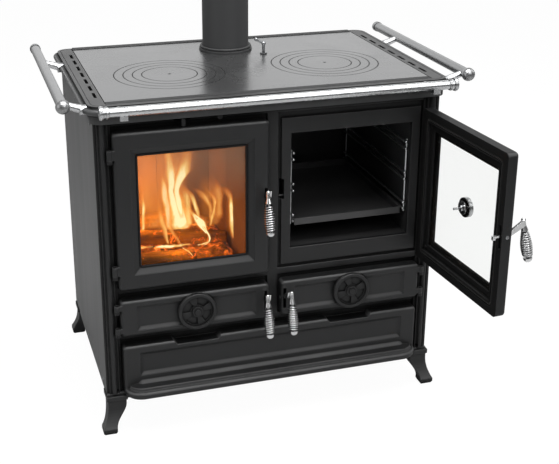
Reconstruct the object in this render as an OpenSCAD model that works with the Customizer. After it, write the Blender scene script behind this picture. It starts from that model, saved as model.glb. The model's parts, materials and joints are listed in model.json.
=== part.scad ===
/* [Overall] */
// Height of the hob's upper face above the floor
hob_height = 850; // [846:1:860]
// Width over the two front columns
body_width = 861; // [860:1:866]
// Depth of the body, from the front face to the rear panel's outer side
body_depth = 541; // [536:1:543]
// Distance from the hob plate's front edge back to the front face
face_setback = 15; // [14:1:16]
// Height of the feet
foot_height = 98; // [94:1:99]
// Thickness of the sheet-steel panels
panel_wall = 4; // [3:0.5:4]
// Thickness of the cast front face
face_wall = 12; // [11:0.5:13]

/* [Hob] */
// Width of the hob plate
hob_width = 798; // [790:1:799]
// Depth of the hob plate
hob_depth = 557; // [552:1:558]
// Thickness of the hob plate
hob_wall = 12; // [11:0.5:13]
// Distance between the centres of the two cooking places
burner_spacing = 408; // [400:1:420]
// Distance from the hob's front edge back to the cooking places
burner_setback = 221; // [205:1:225]
// Radius of a lid
lid_radius = 68.9; // [64:0.1:70]
// Width of each lift-out ring
ring_width = 22.9; // [20:0.1:23]
// Width of the lip on which a ring rests
ring_lip = 5; // [4:0.5:6]
// Clearance round each ring
ring_gap = 0.6; // [0.6:0.1:1]

/* [Frame round the hob] */
// Height of the moulded frame
frame_height = 44; // [42:1:46]
// Overlap of the frame past the hob plate at each side
frame_side = 42; // [40:1:43]
// Overlap of the frame in front of the hob plate
frame_front = 17.5; // [17:0.5:19]
// Overlap of the frame behind the hob plate
frame_rear = 4; // [3:0.5:4]
// Radius of the frame's corners, seen from above
frame_corner = 30; // [28:1:32]
// Vent slots in each side of the frame
vent_count = 7; // [5:1:8]
// Distance between the vent slots
vent_pitch = 64.7; // [55:0.1:65]
// Length of a vent slot
vent_length = 43; // [38:1:45]
// Width of a vent slot
vent_width = 7.5; // [5:0.5:9]

/* [Flue] */
// Inner diameter of the flue pipe
flue_bore = 120; // [112:1:122]
// Wall of the flue pipe
flue_wall = 2; // [1.5:0.5:2.5]
// Distance from the hob's rear edge forward to the flue's axis
flue_from_rear = 114; // [108:1:118]
// Length of the flue pipe above the hob
flue_length = 250; // [200:1:300]

/* [Doors] */
// Distance from the middle of the stove to a door's free edge
door_inner = 16.5; // [16:0.5:17]
// Distance from the middle of the stove to a door's hinge edge
door_outer = 390.5; // [389:0.5:390.5]
// Thickness of a door
door_wall = 27.7; // [27:0.1:28.5]
// Lower edge of the fire door and the oven door
upper_door_bottom = 387.5; // [384:0.5:390]
// Height of the header, from the frame down to the upper doors
header_height = 24.5; // [24:0.5:26]
// Lower edge of the ash door and the soot door
lower_door_bottom = 264; // [263:1:266]
// Height of the ash door and the soot door
lower_door_height = 94; // [92:1:97]
// Width of a door's plain margin, seen from inside
door_margin = 30; // [29:0.5:31]
// Width of the bevel round a window
window_bevel = 15; // [13:1:16]
// Thickness of a window pane
glass_wall = 4; // [3:0.5:5]
// Angle at which the oven door stands open
oven_open_angle = 94; // [90:1:95]
// Radius of a hinge pin
hinge_pin = 4; // [3.5:0.1:4.2]
// Radius of a draught disc
disc_radius = 48; // [44:1:48]

/* [Latches and coil handles] */
// Thickness of a latch lever
lever_wall = 6; // [5:0.5:6]
// Radius of a latch's pivot shaft
latch_shaft = 4; // [3.5:0.1:4.2]
// Turns of a coil handle
coil_turns = 11; // [9:1:12]
// Distance between a coil's turns
coil_pitch = 5.6; // [5.4:0.1:5.8]
// Radius of a coil's wire
coil_wire = 2; // [1.9:0.1:2.2]
// Radius of the coil's belly, from its axis to the wire's centre
coil_belly = 10.2; // [9.9:0.1:10.4]
// Lean of a coil handle away from the door at its foot
coil_lean = 12.3; // [10:0.1:14]

/* [Wood drawer and hearth ledge] */
// Upper edge of the drawer front
drawer_top = 235; // [230:1:240]
// Gap between the drawer front and the columns at its sides
drawer_gap = 3; // [2:0.5:6]
// Distance from the hob's front edge to the ledge's front edge
ledge_reach = 49; // [44:1:54]
// Radius of the ledge's corners, seen from above
ledge_corner = 45; // [44:1:50]
// Depth of the drawer's box
drawer_depth = 460; // [420:10:470]

/* [Rails] */
// Distance of the front rail in front of the hob
front_rail_reach = 81; // [76:1:86]
// Distance of the front rail's ends inside the frame's ends
front_rail_inset = 14; // [11:1:20]
// Radius of the front rail
front_rail_radius = 11.2; // [10:0.1:12]
// Distance of the side rails outside the frame
side_rail_gap = 55; // [51:1:59]
// Radius of the side rails
side_rail_radius = 12.5; // [11.5:0.1:13]
// Height of the rails above the hob's upper face
rail_rise = 3.4; // [2:0.1:5]

/* [Firebox and oven] */
// Thickness of the firebricks
brick_wall = 25; // [22:1:28]
// Height of the firebricks
brick_height = 340; // [300:5:350]
// Bars in the grate
grate_bars = 8; // [6:1:9]
// Distance from the hob's front edge to the oven's rear wall
oven_rear = 470; // [455:1:480]
// Radius of the oven rack's wire
rack_wire = 2.5; // [2:0.1:2.5]

/* [Hidden] */
$fn = 64;
// Distance at which two bodies rest beside each other
seat_gap = 0.3;
// Extra radius of a bore round its pin
running = 0.05;

// Body levels and depths
half_body = body_width / 2;
column_inner = half_body - 39.5;
drawer_half = column_inner - drawer_gap;
face_front = face_setback;
face_back = face_setback + face_wall;
rear_y = face_setback + body_depth;
panel_inner = half_body - panel_wall;
deck_z = foot_height + panel_wall;
mid_deck_z = lower_door_bottom - 2;
frame_z = hob_height - frame_height;
header_z = frame_z - 8;

// Middle of the feet from the middle of the stove
foot_x = half_body - 23.5;

// Front columns
column_band_front = 4;
column_strip_front = 10;
column_depth = 45;
column_wall = 6;
column_ridge = [column_inner + 20, 5, 7];

// Doors in their closed place
door_back = face_front - seat_gap;
door_front = door_back - door_wall;
upper_door_top = frame_z - header_height;
upper_door_height = upper_door_top - upper_door_bottom;
lower_door_top = lower_door_bottom + lower_door_height;
upper_mid = upper_door_bottom + upper_door_height / 2;
lower_mid = lower_door_bottom + lower_door_height / 2;
hinge = [column_inner + 7, -9];
knuckle_radius = 7;
door_middle = (door_inner + door_outer) / 2;
window_x = [door_inner + 52.5, door_outer - 53.5];
window_z = [upper_door_bottom + 53.5, upper_door_top - 55.5];
pocket_x = [door_inner + door_margin, door_outer - door_margin];
pocket_z = [upper_door_bottom + door_margin, upper_door_top - door_margin];
glass_front = door_front + 11;
thermometer_at = [door_middle, upper_mid + 2];
seal_inset = 22.5;
seal_radius = 4;

// Oven and fire openings in the front face
opening_x = [door_inner + 30, door_outer - 27];
opening_z = [upper_door_bottom + 48, upper_door_top - 45];
fire_opening_bottom = upper_door_bottom + 30.5;
lower_opening_x = [door_inner + 33.5, door_outer - 40.5];
lower_opening_z = [lower_door_bottom + 14, lower_door_top - 14];
drawer_opening_half = drawer_half - 38;
drawer_opening_z = [deck_z + 5, drawer_top - 9];
groove_depth = 7;
slider_x = -223;
flap_x = -134;

// Fire chamber, grate shelf and ash pan
fire_x = [50.5 - half_body, -38];
fire_rear = rear_y - 130;
shelf_z = upper_door_bottom - 3.5;
grate_x = [fire_x[0] + 85, fire_x[1] - 77];
grate_y = [face_back + 63, fire_rear - 86];
pan_x = [fire_x[0] + 50, fire_x[1] - 32];
pan_y = [face_back + 51, fire_rear - 26];
pan_z = [lower_opening_z[0] + 0.5, lower_opening_z[1] - 6];

// Latches, from the lever's pivot
latch_x = 25;
latch_y = 0;
handle_x = 31;
neck_top = [-48, 30];
neck_length = 26;
coil_length = coil_turns * coil_pitch + 4 * coil_wire;
keeper = [22, -8, 2.5];
disc_x = door_middle - 1.5;

// Draught discs and hob rings
disc_wall = 9;
ring_flange = 3;
ring_body = 9;
ring_edges = [for (k = [3:-1:0]) lid_radius + k * ring_width];

// Flue and its damper
flue_radius = flue_bore / 2 + flue_wall;
flue_setback = hob_depth - flue_from_rear;
damper_at = [81, flue_setback - 87];
damper_swing = 60;

// Wood drawer
drawer_bottom = foot_height + 6;
drawer_box_bottom = deck_z + 6;
ledge_front = -ledge_reach;
casting_wall = 8;

// Rails
rail_z = hob_height + rail_rise;
frame_bead = 11.5;
frame_half_x = hob_width / 2 + frame_side;
front_rail_half = frame_half_x - front_rail_inset;
side_rail_offset = frame_half_x + side_rail_gap;
rail_back = hob_depth + 16.2;

// Oven rack levels, the upper and lower wire of each
rack_levels = [for (share = [0.277, 0.547, 0.816])
    let (z = opening_z[0] + share * (opening_z[1] - opening_z[0])) [z, z - 17]];
rack_y = [face_back + 5, oven_rear - 30];

// Origin under the middle of the stove as it stands with its oven door open
open_reach = hinge[1] - (hinge[0] - door_inner) * sin(oven_open_angle)
    + (door_back - hinge[1]) * cos(oven_open_angle);
origin_y = (rail_back + open_reach) / 2;

// A box given by its limits along each axis
module block(x, y, z) {
    translate([x[0], y[0], z[0]])
        cube([x[1] - x[0], y[1] - y[0], z[1] - z[0]]);
}

// Rods along the three axes, from one limit to the other
module rod_x(x, y, z, r) {
    translate([x[0], y, z])
        rotate([0, 90, 0])
            cylinder(r = r, h = x[1] - x[0]);
}

module rod_y(x, y, z, r) {
    translate([x, y[1], z])
        rotate([90, 0, 0])
            cylinder(r = r, h = y[1] - y[0]);
}

module rod_z(x, y, z, r) {
    translate([x, y, z[0]])
        cylinder(r = r, h = z[1] - z[0]);
}

// Shows a piece of the right half, or its mirror image at the left
module on_side(side) {
    if (side < 0)
        mirror([1, 0, 0]) children();
    else
        children();
}

// Moves the stove so that the origin lies under its middle
module placed() {
    translate([0, -origin_y, 0]) children();
}

// Turns a piece of the oven door from its closed place to its open one
module swung_open() {
    translate([hinge[0], hinge[1], 0])
        rotate(oven_open_angle)
            translate([-hinge[0], -hinge[1], 0]) children();
}

// Sweeps a profile, drawn outward from the corner's centre, round a rectangle
module rim(half, corner) {
    for (k = [0:3]) {
        along = k % 2 == 0 ? half[0] - corner : half[1] - corner;
        across = k % 2 == 0 ? half[1] - corner : half[0] - corner;
        rotate(90 * k)
            translate([along, across, 0]) {
                rotate_extrude(angle = 90) children();
                rotate([90, 0, 0])
                    linear_extrude(2 * across) children();
            }
    }
}

// The same sweep with its middle filled between two heights
module moulded_slab(half, corner, fill) {
    rim(half, corner) children();
    translate([corner - half[0], corner - half[1], fill[0]])
        cube([2 * (half[0] - corner), 2 * (half[1] - corner), fill[1] - fill[0]]);
}

// Section of a plate's rim with a rounded front edge
module round_edge(reach, wall, radius) {
    square([reach, wall - radius]);
    square([reach - radius, wall]);
    intersection() {
        translate([reach - radius, wall - radius]) circle(radius);
        square([reach, wall]);
    }
}

// A recess with a small step and bevelled sides, mitred, cut into a face that looks forward
module bevelled_recess(x, z, front, depth, run) {
    step = front + 1;
    intersection() {
        translate([0, 0, z[0]])
            linear_extrude(z[1] - z[0])
                polygon([[x[0], front - depth], [x[0], step], [x[0] + run, front + depth],
                         [x[1] - run, front + depth], [x[1], step], [x[1], front - depth]]);
        translate([x[0], 0, 0])
            rotate([90, 0, 90])
                linear_extrude(x[1] - x[0])
                    polygon([[front - depth, z[0]], [step, z[0]], [front + depth, z[0] + run],
                             [front + depth, z[1] - run], [step, z[1]], [front - depth, z[1]]]);
    }
}

// Heights of a door's two knuckles
function knuckle_length(bottom, top) = min(24, 0.15 * (top - bottom));
function knuckle_heights(bottom, top) =
    [bottom + 0.1 * (top - bottom), top - 0.1 * (top - bottom) - knuckle_length(bottom, top)];

// Floor of the body, its skirt between the feet, the middle deck and the drawer's runners
module base_frame() {
    skirt = 14;
    skirt_half = foot_x - 26.5;
    runner_x = [drawer_opening_half - 50, drawer_opening_half - 34];
    deck_levels = [mid_deck_z - 3, mid_deck_z];
    color("#3a3b3d") {
        block([-half_body, half_body], [column_band_front, rear_y], [foot_height, deck_z]);
        block([-skirt_half, skirt_half], [6, 26], [foot_height - skirt, foot_height]);
        block([-skirt_half, skirt_half], [rear_y - 14, rear_y], [foot_height - skirt, foot_height]);
        for (side = [-1, 1])
            on_side(side) {
                block([half_body - 16, half_body - 2], [47.5, rear_y - 53.5],
                      [foot_height - skirt, foot_height]);
                block(runner_x, [face_back, rear_y - 60], [deck_z, drawer_box_bottom - seat_gap]);
            }
        block([-panel_inner, panel_inner], [column_depth, rear_y - panel_wall], deck_levels);
        block([-column_inner, column_inner], [face_back, column_depth + 1], deck_levels);
    }
}

// Outline of a cabriole foot: stepped block above, leg between two curves, rounded toe below
module foot_outline(inner_curve, outer_curve, toe) {
    block_half = 26;
    step = 3;
    levels = [foot_height, foot_height - 12, foot_height - 14, foot_height - 24];
    polygon(concat(
        [[-block_half, levels[0]], [-block_half, levels[1]], [step - block_half, levels[2]]],
        [for (point = inner_curve) [point[0], levels[3] - (levels[3] - 14) * point[1]]],
        [[toe[0], 6], [toe[0] + 3, 0], [toe[1] - 4, 0], [toe[1], 5]],
        [for (point = outer_curve) [point[0], levels[3] - (levels[3] - 14) * point[1]]],
        [[block_half - step, levels[2]], [block_half, levels[1]], [block_half, levels[0]]]
    ));
}

foot_steps = [0:0.125:1];
foot_steps_back = [1:-0.125:0];

// One cabriole foot, its toe turned forward and outward
module foot() {
    intersection() {
        rotate([90, 0, 0])
            linear_extrude(120, center = true)
                foot_outline([for (t = foot_steps) [-23 + 28 * pow(sin(90 * t), 1.9), t]],
                             [for (t = foot_steps_back) [23 + 17 * t * t, t]], [5, 40]);
        rotate([90, 0, 90])
            linear_extrude(120, center = true)
                foot_outline([for (t = foot_steps) [-23 - 17 * t * t, t]],
                             [for (t = foot_steps_back) [23 - 31 * pow(sin(90 * t), 1.4), t]], [-40, -7]);
    }
}

module feet() {
    color("#2b2c2e")
        for (side = [-1, 1])
            on_side(side) {
                translate([foot_x, 21, 0]) foot();
                translate([foot_x, rear_y - 27, 0]) rotate(180) mirror([1, 0, 0]) foot();
            }
}

// Section of a fluted corner column, seen from above
module column_section() {
    difference() {
        union() {
            translate([column_inner, 12]) square([panel_inner - column_inner, column_depth - 12]);
            translate([column_inner + 7, column_band_front]) square([26, 9]);
            translate([column_inner + 33, column_strip_front]) square([half_body - column_inner - 33, 7]);
            translate([column_ridge[0], column_ridge[1]]) circle(column_ridge[2]);
        }
        for (x = [column_ridge[0] - 9, column_ridge[0] + 9])
            translate([x, column_band_front]) circle(1.5);
        translate([column_inner + column_wall, 12 + column_wall])
            square([panel_inner - column_inner - 2 * column_wall, column_depth]);
    }
}

module column(side) {
    color("#2f3032")
        on_side(side)
            difference() {
                translate([0, 0, deck_z])
                    linear_extrude(frame_z - deck_z) column_section();
                rod_y(column_inner + 15, [0, 12], deck_z + 8, 5);
            }
}

module side_panel(side) {
    color("#58595b")
        on_side(side)
            block([panel_inner, half_body], [column_strip_front + 7, rear_y], [deck_z, frame_z]);
}

// Rear panel with its pressed field, which stands forward
module rear_panel() {
    field = 60;
    color("#4a4b4d")
        difference() {
            block([-panel_inner, panel_inner], [rear_y - panel_wall, rear_y], [deck_z, frame_z]);
            block([-panel_inner + field, panel_inner - field],
                  [rear_y - 1.5, rear_y + 1], [deck_z + field, frame_z - field]);
        }
}

// Slot through the face into which a latch hooks
module keeper_slot(mid) {
    block([latch_x - 6.2, latch_x + 4.3], [face_front - 1, face_back + 1], [mid - 16, mid + 36.6]);
}

// Groove in the face behind a door's edge, wider above the door
module edge_groove(bottom, top) {
    edge = 6;
    difference() {
        block([door_inner - 3, column_inner + 1], [face_front - 1, face_front + groove_depth],
              [bottom - 3, top + 10]);
        block([door_inner + edge, door_outer - edge], [face_front - 2, face_back],
              [bottom + edge, top - edge]);
    }
}

// Cast front face with its openings and the pins behind which the latches hook
module front_face() {
    color("#2d2e30") {
        difference() {
            block([-column_inner, column_inner], [face_front, face_back], [deck_z, frame_z]);
            for (side = [-1, 1])
                on_side(side) {
                    block(opening_x, [face_front - 1, face_back + 1],
                          [side < 0 ? fire_opening_bottom : opening_z[0], opening_z[1]]);
                    edge_groove(upper_door_bottom, upper_door_top);
                    edge_groove(lower_door_bottom, lower_door_top);
                    block(lower_opening_x, [face_front - 1, face_back + 1], lower_opening_z);
                    keeper_slot(upper_mid);
                    keeper_slot(lower_mid);
                }
            block([-drawer_opening_half, drawer_opening_half], [face_front - 1, face_back + 1],
                  drawer_opening_z);
            block([-column_inner - 1, column_inner + 1], [face_front - 1, face_front + groove_depth],
                  [drawer_top - 6, drawer_top + 10]);
            block([slider_x - 19, slider_x + 21], [face_front - 1, face_back + 1],
                  [header_z - 5, header_z + 5]);
            rod_y(flap_x, [face_front - 1, face_back + 1], header_z, 3 + running);
        }
        for (side = [-1, 1], mid = [upper_mid, lower_mid])
            on_side(side)
                rod_x([latch_x - 8.5, latch_x + 6.6], keeper[0], mid + keeper[1], keeper[2]);
    }
}

// One hinge lug with its pin, standing on the column
module hinge_lug(z, length) {
    lug = 8;
    arm_width = 5.5;
    rod_z(hinge[0], hinge[1], [z - seat_gap - lug, z - seat_gap], knuckle_radius);
    block([hinge[0], hinge[0] + arm_width], [hinge[1], column_band_front],
          [z - seat_gap - lug, z - seat_gap]);
    rod_z(hinge[0], hinge[1], [z - seat_gap - 1, z + length - 1], hinge_pin);
}

module hinge_pins() {
    color("#7d7f82")
        for (side = [-1, 1],
             door = [[upper_door_bottom, upper_door_top], [lower_door_bottom, lower_door_top]])
            on_side(side)
                for (z = knuckle_heights(door[0], door[1]))
                    hinge_lug(z, knuckle_length(door[0], door[1]));
}

// Section of the frame's moulding: fascia, bead and top rim
module frame_section() {
    difference() {
        union() {
            square([frame_corner - 4, frame_height]);
            translate([0, 14]) square([frame_corner, frame_height - 14]);
            translate([frame_corner - 6, 23]) square([frame_bead - 1.5, 15]);
            translate([frame_corner + frame_bead - 7.5, 30.5]) circle(7.5);
        }
        translate([frame_corner - 1, 14]) circle(3);
        translate([frame_corner + 1.5, frame_height - 4]) circle(2);
        translate([frame_corner - 8, frame_height + 0.4]) circle(1.4);
    }
}

// The frame's outer shape, before anything is cut from it
module frame_moulding() {
    half_y = (hob_depth + frame_rear + frame_front) / 2;
    translate([0, half_y - frame_front, frame_z])
        moulded_slab([frame_half_x, half_y], frame_corner, [0, frame_height]) frame_section();
}

// Moulded frame round the hob, with its ledge and vent slots
module top_frame() {
    vent_x = frame_half_x - 28;
    seam = 2.2;
    color("#45474a")
        difference() {
            frame_moulding();
            block([-hob_width / 2 - seat_gap, hob_width / 2 + seat_gap], [-seat_gap, hob_depth + seat_gap],
                  [hob_height - hob_wall, hob_height + 1]);
            block([-hob_width / 2 - seam, hob_width / 2 + seam], [-seam, hob_depth + seam],
                  [hob_height - 3, hob_height + 1]);
            block([9 - hob_width / 2, hob_width / 2 - 9], [9 + face_back, hob_depth - 9],
                  [frame_z - 1, hob_height]);
            for (side = [-1, 1])
                on_side(side) {
                    block([vent_x - 9, vent_x + 9], [column_depth + 5, hob_depth - 30],
                          [frame_z - 1, hob_height - hob_wall + 2]);
                    for (k = [0:vent_count - 1])
                        translate([vent_x, 79 + k * vent_pitch, frame_z])
                            for (end = [-1, 1])
                                translate([0, end * (vent_length - vent_width) / 2, 0])
                                    cylinder(d = vent_width, h = frame_height + 1);
                    for (k = [0:vent_count - 1])
                        block([vent_x - vent_width / 2, vent_x + vent_width / 2],
                              [79 + k * vent_pitch - (vent_length - vent_width) / 2,
                               79 + k * vent_pitch + (vent_length - vent_width) / 2],
                              [frame_z, hob_height + 1]);
                }
        }
}

// Hob plate with its two stepped cooking holes, the flue hole and the damper's hole
module hob_plate() {
    color("#97999b")
        difference() {
            block([-hob_width / 2, hob_width / 2], [0, hob_depth], [hob_height - hob_wall, hob_height]);
            for (side = [-1, 1])
                translate([side * burner_spacing / 2, burner_setback, 0]) {
                    rod_z(0, 0, [hob_height - ring_flange, hob_height + 1], ring_edges[0] + ring_gap / 2);
                    rod_z(0, 0, [hob_height - hob_wall - 1, hob_height], ring_edges[0] - ring_lip);
                }
            rod_z(0, flue_setback, [hob_height - hob_wall - 1, hob_height + 1], flue_bore / 2 - 2);
            rod_z(damper_at[0], damper_at[1], [hob_height - hob_wall - 1, hob_height + 1], 4 + running);
        }
}

// Lift-out piece of a cooking place: flange outside, lip inside for the next piece
module hob_ring(side, k) {
    inner = k < 3 ? ring_edges[k + 1] : 0;
    color(k == 3 ? "#8f9193" : "#939597")
        translate([side * burner_spacing / 2, burner_setback, hob_height])
            difference() {
                union() {
                    rod_z(0, 0, [-ring_flange, 0], ring_edges[k] - ring_gap / 2);
                    rod_z(0, 0, [-ring_body, 0], ring_edges[k] - ring_lip - ring_gap / 2);
                }
                if (k < 3) {
                    rod_z(0, 0, [-ring_flange, 1], inner + ring_gap / 2);
                    rod_z(0, 0, [-ring_body - 1, 1], inner - ring_lip);
                } else {
                    rod_z(0, 0, [-ring_body - 1, 1], 4);
                }
            }
}

// Rounded collar that seats the flue pipe on the hob
module flue_collar() {
    color("#2c2d2f")
        translate([0, flue_setback, hob_height])
            rotate_extrude()
                difference() {
                    union() {
                        translate([flue_radius + running, 0]) square([9 - running, 5]);
                        translate([flue_radius + running, 0]) square([5 - running, 12]);
                        translate([flue_radius + 4, 10]) circle(3);
                    }
                    translate([flue_radius - 2, -1]) square([2 + running, 20]);
                }
}

// Flue pipe, open at both ends
module flue_pipe() {
    color("#2a2b2d")
        translate([0, flue_setback, hob_height])
            rotate_extrude()
                translate([flue_bore / 2, 0]) square([flue_wall, flue_length]);
}

// Damper: an elbowed handle on the hob whose stem turns a flap below the flue hole
module damper() {
    reach = norm([damper_at[0], flue_setback - damper_at[1]]);
    closed = atan2(flue_setback - damper_at[1], -damper_at[0]);
    color("#5d5f62")
        translate([damper_at[0], damper_at[1], hob_height]) {
            rod_z(0, 0, [0, 4], 9);
            rod_z(0, 0, [-26, 28], 4);
            translate([0, 0, 28]) sphere(6);
            translate([0, 0, 28]) rotate([0, -60, 0]) cylinder(r = 3.5, h = 24);
            translate([0, 0, 28]) rotate([0, -60, 0]) translate([0, 0, 24]) sphere(5);
            rotate(closed - damper_swing) {
                translate([reach, 0, -26]) cylinder(r = flue_bore / 2, h = 3);
                block([0, reach - 40], [-7, 7], [-26, -23]);
            }
        }
}

// Front rail: tube with a flared ring at each end
module front_rail() {
    color("#c9cccf")
        translate([0, -front_rail_reach, rail_z]) {
            rod_x([-front_rail_half + 8, front_rail_half - 8], 0, 0, front_rail_radius);
            for (side = [-1, 1])
                on_side(side)
                    translate([front_rail_half - 20, 0, 0])
                        rotate([0, 90, 0])
                            rotate_extrude() {
                                square([front_rail_radius + 1.8, 20]);
                                translate([0, 3]) square([front_rail_radius + 3, 3]);
                                translate([0, 12]) square([front_rail_radius + 4, 8]);
                                translate([front_rail_radius + 2, 16]) circle(3.3);
                            }
        }
}

// Posts that carry the front rail, each with a flange on the frame and a saddle under the tube
module front_posts() {
    post_x = front_rail_half - 53;
    post_z = hob_height - 10;
    post_radius = 5;
    saddle = 9;
    color("#b9bcc0")
        for (side = [-1, 1])
            on_side(side)
                difference() {
                    union() {
                        rod_y(post_x, [-front_rail_reach, -frame_front], post_z, post_radius);
                        rod_y(post_x, [-frame_front - frame_bead - 3, -frame_front], post_z,
                              post_radius + 3.5);
                        block([post_x - saddle, post_x + saddle],
                              [-front_rail_reach - saddle, -front_rail_reach + saddle],
                              [rail_z - front_rail_radius - 8, rail_z - 2]);
                    }
                    rod_x([post_x - 20, post_x + 20], -front_rail_reach, rail_z, front_rail_radius + running);
                    frame_moulding();
                }
}

// Side rail: tube with a ball in front and a ringed cap at the rear
module side_rail(side) {
    ball = 16.5;
    ball_y = -7;
    color("#c4c7ca")
        on_side(side)
            translate([side_rail_offset, 0, rail_z]) {
                rod_y(0, [ball_y, rail_back], 0, side_rail_radius);
                translate([0, ball_y, 0]) sphere(ball);
                rod_y(0, [rail_back - 12, rail_back], 0, side_rail_radius + 1.5);
            }
}

// Brackets that carry the side rails, each a leaning cone with a flange on the frame
module side_brackets() {
    root = [frame_half_x + 4, hob_height - 14];
    way = [side_rail_offset, rail_z] - root;
    color("#b4b7bb")
        for (side = [-1, 1], y = [15, hob_depth - 142])
            on_side(side)
                difference() {
                    union() {
                        rod_x([frame_half_x, frame_half_x + frame_bead + 4], y, root[1], 12);
                        translate([root[0], y, root[1]])
                            rotate([0, atan2(way[0], way[1]), 0])
                                cylinder(r1 = 10.5, r2 = 7.5, h = norm(way));
                    }
                    rod_y(side_rail_offset, [y - 20, y + 20], rail_z, side_rail_radius + running);
                    frame_moulding();
                }
}

// Steel firebox: fire chamber above the grate shelf, ash pit with the pan's runners below
module firebox_shell() {
    wall = 4;
    outer_x = [fire_x[0] - wall, fire_x[1] + wall];
    color("#3b3a39") {
        difference() {
            block(outer_x, [face_back, fire_rear + wall], [mid_deck_z, frame_z - 6]);
            block(fire_x, [face_back - 1, fire_rear], [mid_deck_z + wall, shelf_z - 8]);
            block(fire_x, [face_back - 1, fire_rear], [shelf_z, frame_z]);
            block([grate_x[0] + 10, grate_x[1] - 10], [grate_y[0] + 10, grate_y[1] - 10],
                  [shelf_z - 9, shelf_z + 1]);
        }
        for (x = [pan_x[0] + 30, pan_x[1] - 40])
            block([x, x + 10], [face_back + 5, fire_rear], [mid_deck_z + wall, pan_z[0] - seat_gap]);
    }
}

// Firebrick of a given length, its fire side at y = 0, with a sloped upper edge
module firebrick(length) {
    slope = 12;
    rotate([90, 0, 90])
        linear_extrude(length)
            polygon([[0, 0], [brick_wall, 0], [brick_wall, brick_height],
                     [slope, brick_height], [0, brick_height - slope]]);
}

// Firebricks round the fire: two at each side and two at the back
module firebrick_lining() {
    joint = 1;
    side_length = (fire_rear - brick_wall - face_back - 4 * joint) / 2;
    rear_length = (fire_x[1] - fire_x[0] - 2 * brick_wall - joint) / 2;
    color("#a8885c")
        for (k = [0, 1]) {
            start = face_back + 2 * joint + k * (side_length + joint);
            translate([fire_x[0] + brick_wall, start, shelf_z]) rotate(90) firebrick(side_length);
            translate([fire_x[1] - brick_wall, start + side_length, shelf_z])
                rotate(-90) firebrick(side_length);
            translate([fire_x[0] + brick_wall + k * (rear_length + joint), fire_rear - brick_wall, shelf_z])
                firebrick(rear_length);
        }
}

// Cast grate lying over the opening in the shelf
module grate() {
    side_bar = 10;
    end_bar = 14;
    bar = (grate_x[1] - grate_x[0] - 2 * side_bar) / (2 * grate_bars + 1);
    color("#343333")
        difference() {
            block(grate_x, grate_y, [shelf_z, shelf_z + 10]);
            for (k = [0:grate_bars - 1])
                block([grate_x[0] + side_bar + (2 * k + 1) * bar, grate_x[0] + side_bar + (2 * k + 2) * bar],
                      [grate_y[0] + end_bar, grate_y[1] - end_bar], [shelf_z - 1, shelf_z + 11]);
        }
}

// Ash pan: an open steel tray with a folded rim and a front grip
module ash_pan() {
    wall = 2;
    grip_x = [pan_x[0] + 80, pan_x[1] - 80];
    grip_top = pan_z[1] - 12;
    color("#6a6c6e") {
        difference() {
            block(pan_x, pan_y, pan_z);
            block([pan_x[0] + wall, pan_x[1] - wall], [pan_y[0] + wall, pan_y[1] - wall],
                  [pan_z[0] + wall, pan_z[1] + 1]);
        }
        block(grip_x, [pan_y[0] - 12, pan_y[0]], [grip_top - wall, grip_top]);
        block(grip_x, [pan_y[0] - 12, pan_y[0] - 10], [grip_top - 14, grip_top]);
    }
}

// Oven box fixed behind its opening
module oven_box() {
    wall = 4;
    color("#2b2b2c")
        difference() {
            block([opening_x[0] - wall, opening_x[1] + wall], [face_back, oven_rear + wall],
                  [opening_z[0] - wall, opening_z[1] + wall]);
            block(opening_x, [face_back - 1, oven_rear], opening_z);
        }
}

// Wire racks at both sides of the oven, each level a pair of rails
module side_rack(side) {
    wall_x = side > 0 ? opening_x[1] : opening_x[0];
    upright_x = wall_x - side * 2 * rack_wire;
    rail_x = upright_x - side * 2 * rack_wire + side * 0.4;
    for (y = rack_y) {
        rod_z(upright_x, y, [rack_levels[0][1] - 8, rack_levels[2][0] + 6], rack_wire);
        for (z = [rack_levels[0][1] + 10, rack_levels[2][1] + 8])
            rod_x(side > 0 ? [upright_x, wall_x] : [wall_x, upright_x], y, z, 2);
    }
    for (level = rack_levels, z = level)
        rod_y(rail_x, [rack_y[0] - 5, rack_y[1] + 8], z, rack_wire);
}

module oven_side_racks() {
    color("#a9acb0") {
        side_rack(1);
        side_rack(-1);
    }
}

// Baking tray hanging by its rim on the lowest pair of rails
module oven_tray() {
    rim_z = rack_levels[0][1] + rack_wire + seat_gap;
    x = [opening_x[0] + 12, opening_x[1] - 12];
    y = [rack_y[0] - 1, rack_y[1] - 10];
    rim_width = 7.5;
    color("#5b5d60")
        difference() {
            union() {
                block([x[0] - 3.5, x[1] + 3.5], y, [rim_z, rim_z + 1.5]);
                block([x[0] + 4, x[1] - 4], [y[0], y[1] - 4], [rim_z - 16, rim_z + 1.5]);
            }
            block([x[0] + rim_width - 2, x[1] - rim_width + 2], [y[0] + 1.5, y[1] - rim_width],
                  [rim_z - 14.5, rim_z + 3]);
        }
}

// Primary air slide: a tab in the header's slot on a plate behind the face
module air_slider() {
    plate_y = [face_back + seat_gap, face_back + seat_gap + 3];
    color("#77797c") {
        block([slider_x - 4, slider_x + 4], [-4, plate_y[0] + 1], [header_z - 3, header_z + 3]);
        block([slider_x - 32, slider_x + 32], plate_y, [header_z - 12, header_z + 6]);
        block([slider_x - 4.5, slider_x + 4.5], [-6, -1], [header_z - 14, header_z + 5]);
    }
}

// Turn knob in the header with its flap behind the face
module flap_knob() {
    color("#85878a") {
        rod_y(flap_x, [0, 8], header_z, 6.5);
        rod_y(flap_x, [8, face_back + 14], header_z, 3);
        block([flap_x - 6, flap_x + 6], [face_back + 6, face_back + 8], [header_z - 16, header_z]);
    }
}

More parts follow.
